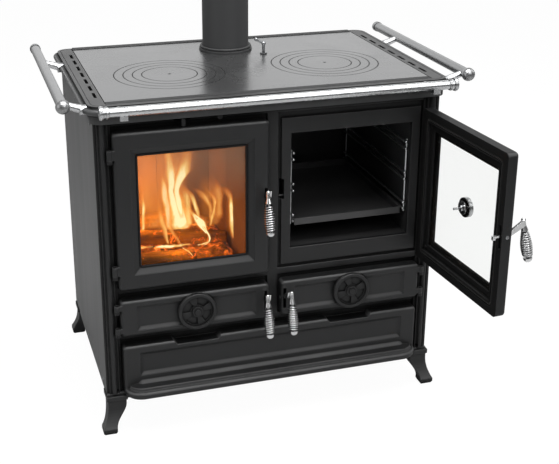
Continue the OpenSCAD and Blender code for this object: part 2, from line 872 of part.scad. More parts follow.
// A door's plate with its knuckles and the slot and bore for its latch
module door_plate(bottom, top) {
    mid = (bottom + top) / 2;
    length = knuckle_length(bottom, top);
    slot_half = lever_wall / 2 + 1;
    difference() {
        union() {
            translate([door_middle, door_back, mid])
                rotate([90, 0, 0])
                    moulded_slab([(door_outer - door_inner) / 2, (top - bottom) / 2], 10, [0, door_wall])
                        round_edge(10, door_wall, 7);
            for (z = knuckle_heights(bottom, top)) {
                rod_z(hinge[0], hinge[1], [z, z + length], knuckle_radius);
                block([door_outer - 8, hinge[0]], [hinge[1] - 4, hinge[1] + 5], [z, z + length]);
            }
        }
        for (z = knuckle_heights(bottom, top))
            rod_z(hinge[0], hinge[1], [z - 1, z + length + 1], hinge_pin + running);
        block([latch_x - slot_half, latch_x + slot_half], [door_front - 1, door_back + 1],
              [mid - 28, mid + 28]);
        rod_x([door_inner + 1, latch_x + 8.5], latch_y, mid, latch_shaft + running);
    }
}

// Glazed door: bevelled window, pocket for the pane and groove for the seal
module glazed_door() {
    difference() {
        door_plate(upper_door_bottom, upper_door_top);
        bevelled_recess([window_x[0] - window_bevel, window_x[1] + window_bevel],
                        [window_z[0] - window_bevel, window_z[1] + window_bevel],
                        door_front, 8, window_bevel);
        block(window_x, [door_front - 1, door_back + 1], window_z);
        block(pocket_x, [glass_front, door_back + 1], pocket_z);
        seal_path()
            translate([-seal_radius - 0.4, -1]) square([2 * seal_radius + 0.8, 2 * seal_radius + 1.4]);
    }
}

// Sweeps a section round a glazed door's inner side, along the seal's middle line
module seal_path() {
    corner = 32;
    translate([door_middle, door_back, upper_mid])
        rotate([90, 0, 0])
            rim([(door_outer - door_inner) / 2, upper_door_height / 2], corner)
                translate([corner - seal_inset, 0]) children();
}

// Sealing rope in the groove round the window
module door_seal() {
    color("#8d8a84")
        seal_path()
            translate([0, seal_radius]) circle(seal_radius);
}

// Ceramic glass pane, larger than the window all round
module window_pane() {
    margin = 14;
    block([window_x[0] - margin, window_x[1] + margin], [glass_front, glass_front + glass_wall],
          [window_z[0] - margin, window_z[1] + margin]);
}

// The oven door's pane, drilled for the thermometer
module drilled_pane() {
    difference() {
        window_pane();
        rod_y(thermometer_at[0], [glass_front - 1, glass_front + glass_wall + 1], thermometer_at[1], 3.3);
    }
}

// Picture frame behind the pane, with its four clamping lugs
module glass_retainer() {
    y = [glass_front + glass_wall, glass_front + glass_wall + 5];
    color("#4b4c4e")
        difference() {
            union() {
                block([pocket_x[0] + 0.5, pocket_x[1] - 0.5], y, [pocket_z[0] + 0.5, pocket_z[1] - 0.5]);
                for (x = [pocket_x[0] + 8, pocket_x[1] - 8], z = [pocket_z[0] + 8, pocket_z[1] - 8])
                    rod_y(x, [y[0], y[1] + 3], z, 5);
            }
            block([window_x[0] - 8, window_x[1] + 8], [y[0] - 1, y[1] + 1],
                  [window_z[0] - 8, window_z[1] + 8]);
        }
}

// Solid lower door with a bevelled field and four draught openings behind its disc's spokes
module lower_door(turn) {
    difference() {
        door_plate(lower_door_bottom, lower_door_top);
        difference() {
            bevelled_recess([door_inner + 34.5, door_outer - 40.5],
                            [lower_door_bottom + 14, lower_door_top - 15], door_front, 5, 8);
            rod_y(disc_x, [door_front - 10, door_front + 10], lower_mid, disc_radius - 6);
        }
        block([lower_opening_x[0] + 4, lower_opening_x[1] - 4], [door_front + 12, door_back + 1],
              [lower_opening_z[0] + 4, lower_opening_z[1] - 4]);
        intersection() {
            draught_openings(turn + 45, [door_front - 1, door_back + 1], 17, 30, 14);
            block([disc_x - 60, disc_x + 60], [-60, 60], [lower_opening_z[0] + 4, lower_opening_z[1] - 4]);
        }
        rod_y(disc_x, [door_front - 1, door_back + 1], lower_mid, 5 + running);
    }
}

// Four sector openings between two radii round a disc's centre, each spread to both sides
module draught_openings(turn, y, inner, outer, spread) {
    far = 80;
    translate([disc_x, y[1], lower_mid])
        rotate([90, 0, 0])
            linear_extrude(y[1] - y[0])
                intersection() {
                    difference() {
                        circle(outer);
                        circle(inner);
                    }
                    for (k = [0:3])
                        rotate(turn + 90 * k)
                            polygon([[0, 0], [far, -far * tan(spread)], [far, far * tan(spread)]]);
                }
}

// Draught disc: raised rim, four spokes and a domed hub on its bolt
module draught_disc(turn) {
    color("#3e4043")
        difference() {
            union() {
                translate([disc_x, door_front - seat_gap, lower_mid])
                    rotate([90, 0, 0])
                        rotate_extrude() {
                            square([disc_radius, 4]);
                            translate([disc_radius - 8, 0]) square([5, disc_wall]);
                            translate([disc_radius - 3, 0]) square([3, disc_wall - 3]);
                            translate([disc_radius - 3, disc_wall - 3])
                                intersection() {
                                    circle(3);
                                    square(4);
                                }
                            square([13, disc_wall]);
                            square([7, disc_wall + 4]);
                        }
                rod_y(disc_x, [door_front - 2, door_back - 6], lower_mid, 5);
            }
            draught_openings(turn, [door_front - 20, door_front], 17, disc_radius - 12, 29);
        }
}

// Lever of a latch seen from the side: hook behind the pivot, arm up to the neck in front
module lever_outline() {
    circle(7.5);
    square([34, 5]);
    translate([26.5, -4.5]) square([7.5, 9.5]);
    polygon([[0, -7], [neck_top[0] + 4, neck_top[1] - 14], [neck_top[0], neck_top[1] + 2],
             [neck_top[0] + 6, neck_top[1] + 2], [-4, 7]]);
}

// The handle's own frame: its origin at the neck's top, its axis down along the handle
module handle_frame(mid) {
    translate([handle_x, neck_top[0], mid + neck_top[1]])
        rotate([-coil_lean, 0, 0]) children();
}

// Latch: lever with pivot shaft, neck, core rod and rounded end cap
module latch(mid) {
    cap = 10.5;
    neck_bend = 14;
    color("#c6c8ca") {
        translate([latch_x - lever_wall / 2, latch_y, mid])
            rotate([90, 0, 90])
                linear_extrude(lever_wall) lever_outline();
        rod_x([door_inner + 1.2, latch_x + 8.3], latch_y, mid, latch_shaft);
        handle_frame(mid) {
            sphere(5.5);
            rotate([180, 0, 0]) cylinder(r1 = 4.5, r2 = 5, h = neck_bend);
            translate([0, 0, -neck_bend])
                rotate([180, 0, 0]) cylinder(r1 = 5, r2 = 8.2, h = neck_length - neck_bend);
            rod_z(0, 0, [-neck_length - coil_length - 2, -neck_length + 2], 3);
            translate([0, 0, -neck_length - coil_length])
                rotate_extrude()
                    intersection() {
                        translate([0, -cap - 2]) square([cap, cap + 2]);
                        union() {
                            translate([0, -2]) square([cap, 2]);
                            translate([0, -2]) circle(cap);
                        }
                    }
        }
    }
}

// Distance of the wire's centre from the handle's axis, a given number of turns down
function coil_radius(turn) =
    coil_belly - 4 * (1 - sin(5 + 135 * turn / coil_turns));

// Points along the wire: a straight end, the turns and another straight end
coil_rings = 8;
wire_end = 2 * coil_wire;
coil_steps = coil_turns * coil_rings;
coil_points = concat(
    [[coil_radius(0), 0, 0]],
    [for (k = [0:coil_steps])
        let (turn = k / coil_rings, r = coil_radius(turn))
            [r * cos(360 * turn), r * sin(360 * turn), -wire_end - coil_pitch * turn]],
    [[coil_radius(coil_turns), 0, -coil_length]]
);

// Direction of the wire at a point, straight along the axis at both ends
function wire_way(k) =
    let (last = len(coil_points) - 1)
        k == 0 || k == last ? [0, 0, -1] :
            let (way = coil_points[k + 1] - coil_points[k - 1]) way / norm(way);

// One ring of the wire's skin, square to its direction
function wire_ring(k) =
    let (p = coil_points[k], way = wire_way(k), out = [p[0], p[1], 0] / norm([p[0], p[1]]),
         side = cross(way, out), level = cross(side, way))
        [for (s = [0:5])
            p + coil_wire * (cos(60 * s) * level / norm(level) + sin(60 * s) * side / norm(side))];

module coil_tube() {
    count = len(coil_points);
    rings = [for (k = [0:count - 1]) each wire_ring(k)];
    walls = [for (k = [0:count - 2], s = [0:5])
        let (a = 6 * k + s, b = 6 * k + (s + 1) % 6)
            each [[a, b, b + 6], [a, b + 6, a + 6]]];
    last = 6 * (count - 1);
    caps = [for (s = [1:4]) each [[0, s + 1, s], [last, last + s, last + s + 1]]];
    polyhedron(points = rings, faces = concat(walls, caps));
}

// Least gap between the wire's turns, over every pair of points half a turn apart or more
coil_gap = min([for (a = [0:len(coil_points) - 1], b = [a + 4:1:len(coil_points) - 1])
    norm(coil_points[a] - coil_points[b])]) - 2 * coil_wire;
echo(coil_gap = coil_gap);

module coil_handle(mid) {
    color("#cfd1d3")
        handle_frame(mid)
            translate([0, 0, -neck_length]) coil_tube();
}

// Thermometer: dial case on the glass, stem through it, clip disc and probe behind
module thermometer() {
    glass_back = glass_front + glass_wall;
    color("#b0b3b6") {
        translate([thermometer_at[0], glass_front, thermometer_at[1]])
            rotate([90, 0, 0])
                rotate_extrude()
                    difference() {
                        square([24, 11]);
                        translate([-1, 8.5]) square([22, 5]);
                    }
        rod_y(thermometer_at[0], [glass_front - 8, 26], thermometer_at[1], 3);
        rod_y(thermometer_at[0], [glass_back, glass_back + 2], thermometer_at[1], 17);
        rod_y(thermometer_at[0], [glass_back, glass_back + 8], thermometer_at[1], 8);
    }
}

// Drawer front cast in one piece with the hearth ledge
module drawer_front() {
    ledge_top = drawer_bottom + 36;
    grip_x = 201;
    slab_half = 100;
    bevel = ledge_corner - (ledge_reach + door_front);
    color("#303133")
        difference() {
            union() {
                translate([0, door_back, (drawer_bottom + drawer_top) / 2])
                    rotate([90, 0, 0])
                        moulded_slab([drawer_half, (drawer_top - drawer_bottom) / 2], 10, [0, door_wall])
                            round_edge(10, door_wall, 7);
                intersection() {
                    translate([0, ledge_front + slab_half, drawer_bottom])
                        moulded_slab([drawer_half, slab_half], ledge_corner, [0, ledge_top - drawer_bottom])
                            polygon([[0, 0], [ledge_corner - 2, 0], [ledge_corner, 3], [ledge_corner, 12],
                                     [ledge_corner - 3, 16], [ledge_corner - 9, 18], [ledge_corner - 11, 25],
                                     [bevel + 6, 28], [bevel, ledge_top - drawer_bottom],
                                     [0, ledge_top - drawer_bottom]]);
                    block([-drawer_half, drawer_half], [ledge_front - 1, door_back],
                          [drawer_bottom, ledge_top]);
                }
            }
            bevelled_recess([41 - drawer_half, drawer_half - 41], [drawer_bottom + 49, drawer_top - 20],
                            door_front, 5, 8);
            block([18 - drawer_half, drawer_half - 18], [door_front + casting_wall + 5, door_back + 1],
                  [drawer_bottom + casting_wall, drawer_top - 18]);
            block([38 - drawer_half, drawer_half - 38], [ledge_front + 12, door_front + casting_wall],
                  [drawer_bottom - 1, drawer_bottom + 13]);
            for (side = [-1, 1])
                on_side(side)
                    rotate([90, 0, 0])
                        linear_extrude(100, center = true)
                            polygon([[grip_x - 62, drawer_top + 1], [grip_x - 52, drawer_top - 10],
                                     [grip_x + 52, drawer_top - 10], [grip_x + 62, drawer_top + 1]]);
        }
}

// Open wood box behind the drawer front
module drawer_box() {
    x = [10 - drawer_opening_half, drawer_opening_half - 10];
    y = [door_back, door_back + drawer_depth];
    z = [drawer_box_bottom, drawer_opening_z[1] - 8];
    wall = 2;
    color("#57595b")
        difference() {
            block(x, y, z);
            block([x[0] + wall, x[1] - wall], [y[0] + wall, y[1] - wall], [z[0] + wall, z[1] + 1]);
        }
}

placed() base_frame();
placed() feet();
placed() column(-1);  // column_left
placed() column(1);  // column_right
placed() side_panel(-1);  // side_panel_left
placed() side_panel(1);  // side_panel_right
placed() rear_panel();
placed() front_face();
placed() hinge_pins();
placed() top_frame();
placed() hob_plate();
placed() hob_ring(-1, 0);  // ring_outer_left
placed() hob_ring(-1, 1);  // ring_middle_left
placed() hob_ring(-1, 2);  // ring_inner_left
placed() hob_ring(-1, 3);  // lid_left
placed() hob_ring(1, 0);  // ring_outer_right
placed() hob_ring(1, 1);  // ring_middle_right
placed() hob_ring(1, 2);  // ring_inner_right
placed() hob_ring(1, 3);  // lid_right
placed() flue_collar();
placed() flue_pipe();
placed() damper();
placed() front_rail();
placed() front_posts();
placed() side_rail(-1);  // side_rail_left
placed() side_rail(1);  // side_rail_right
placed() side_brackets();
placed() firebox_shell();
placed() firebrick_lining();
placed() grate();
placed() ash_pan();
placed() oven_box();
placed() oven_side_racks();
placed() oven_tray();
placed() air_slider();
placed() flap_knob();
placed() on_side(-1) color("#2c2d2f") glazed_door();  // fire_door
placed() on_side(-1) color("#6b5540") window_pane();  // fire_glass
placed() on_side(-1) glass_retainer();  // fire_glass_retainer
placed() on_side(-1) door_seal();  // fire_door_seal
placed() on_side(-1) latch(upper_mid);  // fire_latch
placed() on_side(-1) coil_handle(upper_mid);  // fire_handle_coil
placed() swung_open() color("#2c2d2f") glazed_door();  // oven_door
placed() swung_open() color("#54565a") drilled_pane();  // oven_glass
placed() swung_open() glass_retainer();  // oven_glass_retainer
placed() swung_open() door_seal();  // oven_door_seal
placed() swung_open() thermometer();
placed() swung_open() latch(upper_mid);  // oven_latch
placed() swung_open() coil_handle(upper_mid);  // oven_handle_coil
placed() on_side(-1) color("#2c2d2f") lower_door(28);  // ash_door
placed() on_side(-1) draught_disc(28);  // ash_disc
placed() on_side(-1) latch(lower_mid);  // ash_latch
placed() on_side(-1) coil_handle(lower_mid);  // ash_handle_coil
placed() color("#2c2d2f") lower_door(62);  // soot_door
placed() draught_disc(62);  // soot_disc
placed() latch(lower_mid);  // soot_latch
placed() coil_handle(lower_mid);  // soot_handle_coil
placed() drawer_front();
placed() drawer_box();
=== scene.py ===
import json
import math

import bpy
from mathutils import Matrix, Vector, noise


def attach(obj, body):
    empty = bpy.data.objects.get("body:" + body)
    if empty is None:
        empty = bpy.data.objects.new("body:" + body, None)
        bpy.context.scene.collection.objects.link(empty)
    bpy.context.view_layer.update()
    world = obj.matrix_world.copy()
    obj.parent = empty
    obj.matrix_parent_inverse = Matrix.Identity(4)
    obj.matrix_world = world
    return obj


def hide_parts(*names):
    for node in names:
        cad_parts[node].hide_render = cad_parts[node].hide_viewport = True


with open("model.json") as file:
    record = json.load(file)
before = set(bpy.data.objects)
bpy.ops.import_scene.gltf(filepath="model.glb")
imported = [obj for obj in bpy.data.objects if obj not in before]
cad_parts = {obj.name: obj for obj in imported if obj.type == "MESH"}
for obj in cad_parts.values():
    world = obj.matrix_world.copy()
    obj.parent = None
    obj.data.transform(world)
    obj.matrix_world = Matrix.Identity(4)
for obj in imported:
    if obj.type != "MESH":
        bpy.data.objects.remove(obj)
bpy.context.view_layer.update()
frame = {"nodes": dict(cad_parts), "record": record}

# Places, in millimetres from the hob's front seam, as in the part's source
ORIGIN_Y = 90.98804
HINGE = Vector((398.0, -9.0, 0.0))
OPEN_ANGLE = math.radians(94.0)
UPPER_MID = 584.5
LOWER_MID = 311.0
HOB_DEPTH = 557.0
BURNERS = ((-204.0, 221.0), (204.0, 221.0))
RING_EDGES = (137.6, 114.7, 91.8, 68.9)
# Glazed doors: name, side of the stove, whether it stands open
GLAZED = (("fire", -1, False), ("oven", 1, True))


def point(x, y, z):
    """A place given in millimetres from the hob's front seam, in the shared frame in metres."""
    return Vector((x / 1000, (y - ORIGIN_Y) / 1000, z / 1000))


def swung(p):
    """A point of the closed oven door, turned to the open one."""
    return Matrix.Rotation(OPEN_ANGLE, 3, "Z") @ (Vector(p) - HINGE) + HINGE


def on_door(p, side, opened):
    """A point of the closed oven door, carried to the door on that side, open or not."""
    p = swung(p) if opened else p
    return point(side * p.x, p.y, p.z)


# Camera in front of the stove, above it and to its left; the first four are in pixels of its picture
PICTURE_WIDTH = 559
PICTURE_CENTRE = (279.5, 232.0)
OPTICAL_AXIS = (253.9, 184.4)
FOCAL_LENGTH = 1082.9
SENSOR_WIDTH = 36
LOOK_DOWN = 0.358
LOOK_RIGHT = 0.291
camera = bpy.data.objects.new("camera", bpy.data.cameras.new("camera"))
bpy.context.scene.collection.objects.link(camera)
camera.location = (-0.7518, -2.42699, 1.5330)
camera.rotation_euler = (math.pi / 2 - LOOK_DOWN, 0, -LOOK_RIGHT)
camera.data.sensor_width = SENSOR_WIDTH
camera.data.sensor_fit = "HORIZONTAL"
camera.data.lens = FOCAL_LENGTH / PICTURE_WIDTH * SENSOR_WIDTH
camera.data.shift_x = (PICTURE_CENTRE[0] - OPTICAL_AXIS[0]) / PICTURE_WIDTH
camera.data.shift_y = (OPTICAL_AXIS[1] - PICTURE_CENTRE[1]) / PICTURE_WIDTH
bpy.context.scene.camera = camera
bpy.context.scene.view_settings.view_transform = "Standard"


# Node helpers
class Graph:
    """Short calls for building the nodes of one material, or of one world."""

    def __init__(self, name, world=False):
        self.owner = (bpy.data.worlds if world else bpy.data.materials).new(name)
        self.owner.use_nodes = True
        self.tree = self.owner.node_tree
        self.tree.nodes.clear()
        self.output = self.node("ShaderNodeOutputWorld" if world else "ShaderNodeOutputMaterial")

    def node(self, kind, **settings):
        made = self.tree.nodes.new(kind)
        for key, value in settings.items():
            setattr(made, key, value)
        return made

    def link(self, source, target):
        self.tree.links.new(source, target)

    def feed(self, socket, value):
        """Links a socket to an input, or sets the input to a constant."""
        if isinstance(value, bpy.types.NodeSocket):
            self.link(value, socket)
        else:
            socket.default_value = value

    def feed_colour(self, socket, value):
        """The same for a colour, whose constant is red, green and blue."""
        self.feed(socket, value if isinstance(value, bpy.types.NodeSocket) else (*value, 1.0))

    def first(self, kind, **inputs):
        """The first output of a new node with the given inputs."""
        made = self.node(kind)
        for key, value in inputs.items():
            self.feed(made.inputs[key], value)
        return made.outputs[0]

    def object_place(self):
        return self.node("ShaderNodeTexCoord").outputs["Object"]

    def coordinates(self, scale=(1, 1, 1)):
        """Places on the piece, stretched by a scale for each axis."""
        mapping = self.node("ShaderNodeMapping")
        mapping.inputs["Scale"].default_value = scale
        self.link(self.object_place(), mapping.inputs["Vector"])
        return mapping.outputs["Vector"]

    def axes(self, vector):
        """The outputs X, Y and Z of a vector."""
        split = self.node("ShaderNodeSeparateXYZ")
        self.link(vector, split.inputs[0])
        return split.outputs

    def noise(self, scale, detail=3.0, rough=0.5, vector=None, distort=0.0):
        made = self.node("ShaderNodeTexNoise")
        made.inputs["Scale"].default_value = scale
        made.inputs["Detail"].default_value = detail
        made.inputs["Roughness"].default_value = rough
        made.inputs["Distortion"].default_value = distort
        self.link(vector or self.coordinates(), made.inputs["Vector"])
        return made.outputs["Fac"]

    def math(self, operation, a, b=0.0, clamp=False):
        made = self.node("ShaderNodeMath", operation=operation, use_clamp=clamp)
        self.feed(made.inputs[0], a)
        self.feed(made.inputs[1], b)
        return made.outputs[0]

    def vector(self, operation, a, b=None):
        """Vector maths: the value of a dot product or a length, otherwise the vector."""
        made = self.node("ShaderNodeVectorMath", operation=operation)
        self.link(a, made.inputs[0])
        if b is not None:
            self.feed(made.inputs[1], b)
        return made.outputs["Value" if operation in ("DOT_PRODUCT", "LENGTH") else "Vector"]

    def spread(self, value, low, high, to_low=0.0, to_high=1.0):
        """Carries the span from low to high over to another one and holds it at the ends."""
        made = self.node("ShaderNodeMapRange")
        self.feed(made.inputs["Value"], value)
        made.inputs["From Min"].default_value = low
        made.inputs["From Max"].default_value = high
        made.inputs["To Min"].default_value = to_low
        made.inputs["To Max"].default_value = to_high
        return made.outputs["Result"]

    def mix(self, factor, a, b):
        """A mix of two colours, b where the factor is 1."""
        made = self.node("ShaderNodeMix", data_type="RGBA")
        self.feed(made.inputs["Factor"], factor)
        # Inputs 6 and 7 and output 2 are the node's colour sockets
        self.feed_colour(made.inputs[6], a)
        self.feed_colour(made.inputs[7], b)
        return made.outputs[2]

    def blend(self, factor, a, b):
        """A mix of two shaders, b where the factor is 1."""
        made = self.node("ShaderNodeMixShader")
        for source, socket in zip((factor, a, b), made.inputs):
            self.link(source, socket)
        return made.outputs[0]

    def surface(self, shader):
        self.link(shader, self.output.inputs["Surface"])

    def ramp(self, value, stops):
        """Colours by value, from (place, colour) stops."""
        made = self.node("ShaderNodeValToRGB")
        elements = made.color_ramp.elements
        while len(elements) < len(stops):
            elements.new(0.5)
        for element, (place, colour) in zip(elements, stops):
            element.position = place
            element.color = (*colour, 1.0)
        self.link(value, made.inputs["Fac"])
        return made.outputs["Color"]

    def bump(self, height, strength, distance, normal=None):
        made = self.node("ShaderNodeBump")
        made.inputs["Strength"].default_value = strength
        made.inputs["Distance"].default_value = distance
        self.link(height, made.inputs["Height"])
        if normal:
            self.link(normal, made.inputs["Normal"])
        return made.outputs["Normal"]

    def principled(self, colour, rough, normal=None, **fixed):
        made = self.node("ShaderNodeBsdfPrincipled")
        self.feed_colour(made.inputs["Base Color"], colour)
        self.feed(made.inputs["Roughness"], rough)
        if normal:
            self.link(normal, made.inputs["Normal"])
        for key, value in fixed.items():
            made.inputs[key.replace("_", " ")].default_value = value
        self.surface(made.outputs[0])
        return made

    def crevice(self, distance, depth, start=0.9, end=0.4):
        """0 on open surfaces, up to depth in grooves and corners narrower than the distance."""
        made = self.node("ShaderNodeAmbientOcclusion", samples=6)
        made.inputs["Distance"].default_value = distance
        return self.spread(made.outputs["AO"], start, end, 0.0, depth)

    def edge(self, radius):
        """A mask of the edges rounded by that radius, and the normal rounded with them."""
        bevel = self.node("ShaderNodeBevel", samples=4)
        bevel.inputs["Radius"].default_value = radius
        true_normal = self.node("ShaderNodeNewGeometry").outputs["Normal"]
        likeness = self.vector("DOT_PRODUCT", bevel.outputs[0], true_normal)
        return self.spread(likeness, 0.99, 0.85), bevel.outputs[0]

    def sloping(self, normal):
        """Masks of the faces that lean towards the ceiling, and of the level ones."""
        upward = self.axes(normal)["Z"]
        rising = self.spread(upward, 0.12, 0.5)
        level = self.spread(upward, 0.86, 0.98)
        return self.math("MULTIPLY", rising, self.math("SUBTRACT", 1.0, level)), level

    def facing(self, way):
        """1 on faces that look the given way in the piece's own axes."""
        likeness = self.vector("DOT_PRODUCT", self.node("ShaderNodeTexCoord").outputs["Normal"], way)
        return self.spread(likeness, 0.5, 0.85)


# Materials; colours are linear, and bare lengths in nodes are metres
# Near-black colours of painted shade: for inner sides, and for grooves and gaps
SHADED_INSIDE = (0.0005, 0.0005, 0.0005)
GROOVE_SHADE = (0.001, 0.001, 0.001)
SOOT = (0.006, 0.0055, 0.005)
# Dark colour of the hob's ring seams, and painted shade in the gaps of bright metal
TARNISH_AND_SHADE = (0.012, 0.012, 0.012)
SHEET_EDGE = 0.0012
METAL_EDGE = 0.0008


def times(colour, factor):
    return [c * factor for c in colour]


def plus(colour, rise):
    return [c + rise for c in colour]


def cast(name, colour, rough, grain=0.35, wear_and_highlight=0.035, radius=0.0022, inside=None, slit=(0.008, 0.92)):
    """Cast iron under thin matt enamel: sand grain, faint mottling, and edges paler as wear and as painted
    highlight.

    inside is the way of the side that gets painted shade; slit is the width of the gaps that get painted
    shade and how open they start.
    """
    g = Graph(name)
    edge, rounded = g.edge(radius)
    above, level = g.sloping(rounded)
    fine = g.noise(900, 2, 0.6)
    sand = g.noise(260, 4, 0.7)
    cloud = g.noise(9, 3, 0.6)
    tone = g.mix(g.spread(cloud, 0.3, 0.7), times(colour, 0.82), times(colour, 1.18))
    tone = g.mix(g.spread(sand, 0.35, 0.75, 0.0, 0.35), tone, times(colour, 1.5))
    # Edges paler in patches, partly wear and partly painted highlight
    rubbed_and_highlit_edge = g.math("MULTIPLY", edge, g.spread(g.noise(38, 3, 0.6), 0.35, 0.65, 0.15, 1.0))
    tone = g.mix(rubbed_and_highlit_edge, tone, plus(colour, wear_and_highlight * 0.5))
    # Painted highlight: faces that lean towards the ceiling get paler
    tone = g.mix(above, tone, plus(colour, wear_and_highlight))
    # Painted shade: level tops darkened towards a fifth of the colour
    tone = g.mix(g.math("MULTIPLY", level, 0.6), tone, times(colour, 0.2))
    # Painted shade: faces that look the inside way turned near black
    if inside:
        tone = g.mix(g.math("MULTIPLY", g.facing(inside), 0.95), tone, SHADED_INSIDE)
    # Painted shade: grooves, gaps and corners darkened to near black
    width, start = slit
    crevice_shade = g.math("MAXIMUM", g.crevice(0.03, 0.85), g.crevice(width, 0.98, start, start - 0.37))
    tone = g.mix(crevice_shade, tone, GROOVE_SHADE)
    gloss = g.spread(cloud, 0.3, 0.7, rough - 0.05, rough + 0.05)
    gloss = g.math("SUBTRACT", gloss, g.math("MULTIPLY", rubbed_and_highlit_edge, 0.1))
    gloss = g.math("ADD", gloss, g.math("MULTIPLY", crevice_shade, 0.5), True)
    if inside:
        gloss = g.math("ADD", gloss, g.math("MULTIPLY", g.facing(inside), 0.35), True)
    normal = g.bump(sand, grain, 0.0004, rounded)
    normal = g.bump(fine, grain * 0.5, 0.0001, normal)
    g.principled(tone, gloss, normal, Specular_IOR_Level=0.25 if inside else 0.5)
    return g.owner


def sheet_paint(name, colour, rough, peel=0.12, wear_and_highlight=0.05, coat=0.0, soot=0.0):
    """Painted or enamelled sheet steel: orange peel, faint streaks, and edges paler as wear and painted
    highlight.
    """
    g = Graph(name)
    edge, rounded = g.edge(SHEET_EDGE)
    peel_height = g.noise(520, 2, 0.5)
    wave = g.noise(5, 2, 0.5)
    streak = g.noise(14, 3, 0.6, g.coordinates((1, 1, 0.08)))
    tone = g.mix(g.spread(streak, 0.35, 0.65), times(colour, 0.92), times(colour, 1.08))
    if soot:
        tone = g.mix(g.spread(g.noise(7, 5, 0.65), 0.35, 0.7, 0.0, soot), tone, SOOT)
    # Edges paler, partly wear and partly painted highlight
    tone = g.mix(g.math("MULTIPLY", edge, 0.6), tone, plus(colour, wear_and_highlight))
    gloss = g.spread(streak, 0.3, 0.7, rough - 0.04, rough + 0.05)
    normal = g.bump(wave, 0.05, 0.002, rounded)
    normal = g.bump(peel_height, peel, 0.0002, normal)
    g.principled(tone, gloss, normal, Coat_Weight=coat, Coat_Roughness=0.15)
    return g.owner


def bright_metal(name, colour, rough, scratch=0.06, gap=(0.006, 0.9)):
    """Polished or plated steel with hairlines and faint smears; gap is the width and start of the gaps that
    get painted shade.
    """
    g = Graph(name)
    width, start = gap
    _, rounded = g.edge(METAL_EDGE)
    smear = g.noise(24, 3, 0.6)
    hair = g.noise(300, 3, 0.7, g.coordinates((0.15, 1, 1)))
    tone = g.mix(g.spread(smear, 0.35, 0.7), times(colour, 0.93), colour)
    # Painted shade in narrow gaps, such as between a coil's turns
    tone = g.mix(g.crevice(width, 0.97, start, start - 0.4), tone, TARNISH_AND_SHADE)
    gloss = g.spread(smear, 0.3, 0.7, rough, rough + 0.06)
    gloss = g.math("ADD", gloss, g.spread(hair, 0.45, 0.8, 0.0, scratch))
    normal = g.bump(hair, 0.03, 0.0001, rounded)
    g.principled(tone, gloss, normal, Metallic=1.0)
    return g.owner


def hob_metal(name, colour, rough):
    """Ground hob steel: brushed lines, seasoning stains, grime in the ring seams and painted shade in narrow
    gaps.
    """
    g = Graph(name)
    position = g.object_place()
    _, rounded = g.edge(METAL_EDGE)
    brushed = g.noise(160, 4, 0.75, g.coordinates((0.05, 2.4, 1)))
    stain = g.noise(6.5, 5, 0.62, distort=0.6)
    tone = g.mix(g.spread(stain, 0.3, 0.72), times(colour, 0.86), times(colour, 1.06))
    tone = g.mix(g.spread(brushed, 0.3, 0.75, 0.0, 0.25), tone, times(colour, 1.3))
    seam = None
    for cx, cy in BURNERS:
        offset = g.vector("SUBTRACT", position, point(cx, cy, 0))
        distance = g.vector("LENGTH", g.vector("MULTIPLY", offset, (1, 1, 0)))
        for radius in RING_EDGES:
            away = g.math("ABSOLUTE", g.math("SUBTRACT", distance, radius / 1000))
            near = g.spread(away, 0.0006, 0.0022, 1.0, 0.0)
            seam = near if seam is None else g.math("MAXIMUM", seam, near)
    tone = g.mix(g.math("MULTIPLY", seam, 0.85), tone, TARNISH_AND_SHADE)
    # Painted shade in gaps narrower than 5 mm
    tone = g.mix(g.crevice(0.005, 0.97), tone, (0.004, 0.004, 0.004))
    gloss = g.spread(stain, 0.3, 0.7, rough - 0.05, rough + 0.07)
    gloss = g.math("ADD", gloss, g.math("MULTIPLY", seam, 0.3))
    normal = g.bump(brushed, 0.05, 0.0001, rounded)
    g.principled(tone, gloss, normal, Metallic=0.85)
    return g.owner


def clear_pane(name, tint, smoke, veil=0.0):
    """Glass: mostly see-through, with a mirror sheen at grazing angles, faint smoke marks and haze above."""
    g = Graph(name)
    smears = g.spread(g.noise(7, 4, 0.6), 0.4, 0.75, 0.0, smoke)
    place = g.axes(g.object_place())
    haze = g.math("MULTIPLY", g.spread(place["X"], -0.22, -0.34), g.spread(place["Z"], 0.6, 0.73, 0.0, 0.25))
    if veil:
        haze = g.math("MAXIMUM", haze, g.spread(place["Z"], 0.58, 0.71, 0.0, veil))
    smears = g.math("ADD", smears, haze)
    through = g.first("ShaderNodeBsdfTransparent", Color=(*tint, 1.0))
    gloss = g.first("ShaderNodeBsdfGlossy", Roughness=0.03, Color=(0.9, 0.9, 0.9, 1))
    film = g.first("ShaderNodeBsdfDiffuse", Color=(0.66, 0.5, 0.37, 1))
    fresnel = g.first("ShaderNodeFresnel", IOR=1.28)
    outside = g.math("SUBTRACT", 1.0, g.node("ShaderNodeNewGeometry").outputs["Backfacing"])
    g.surface(g.blend(g.math("MULTIPLY", fresnel, outside), g.blend(smears, through, film), gloss))
    return g.owner


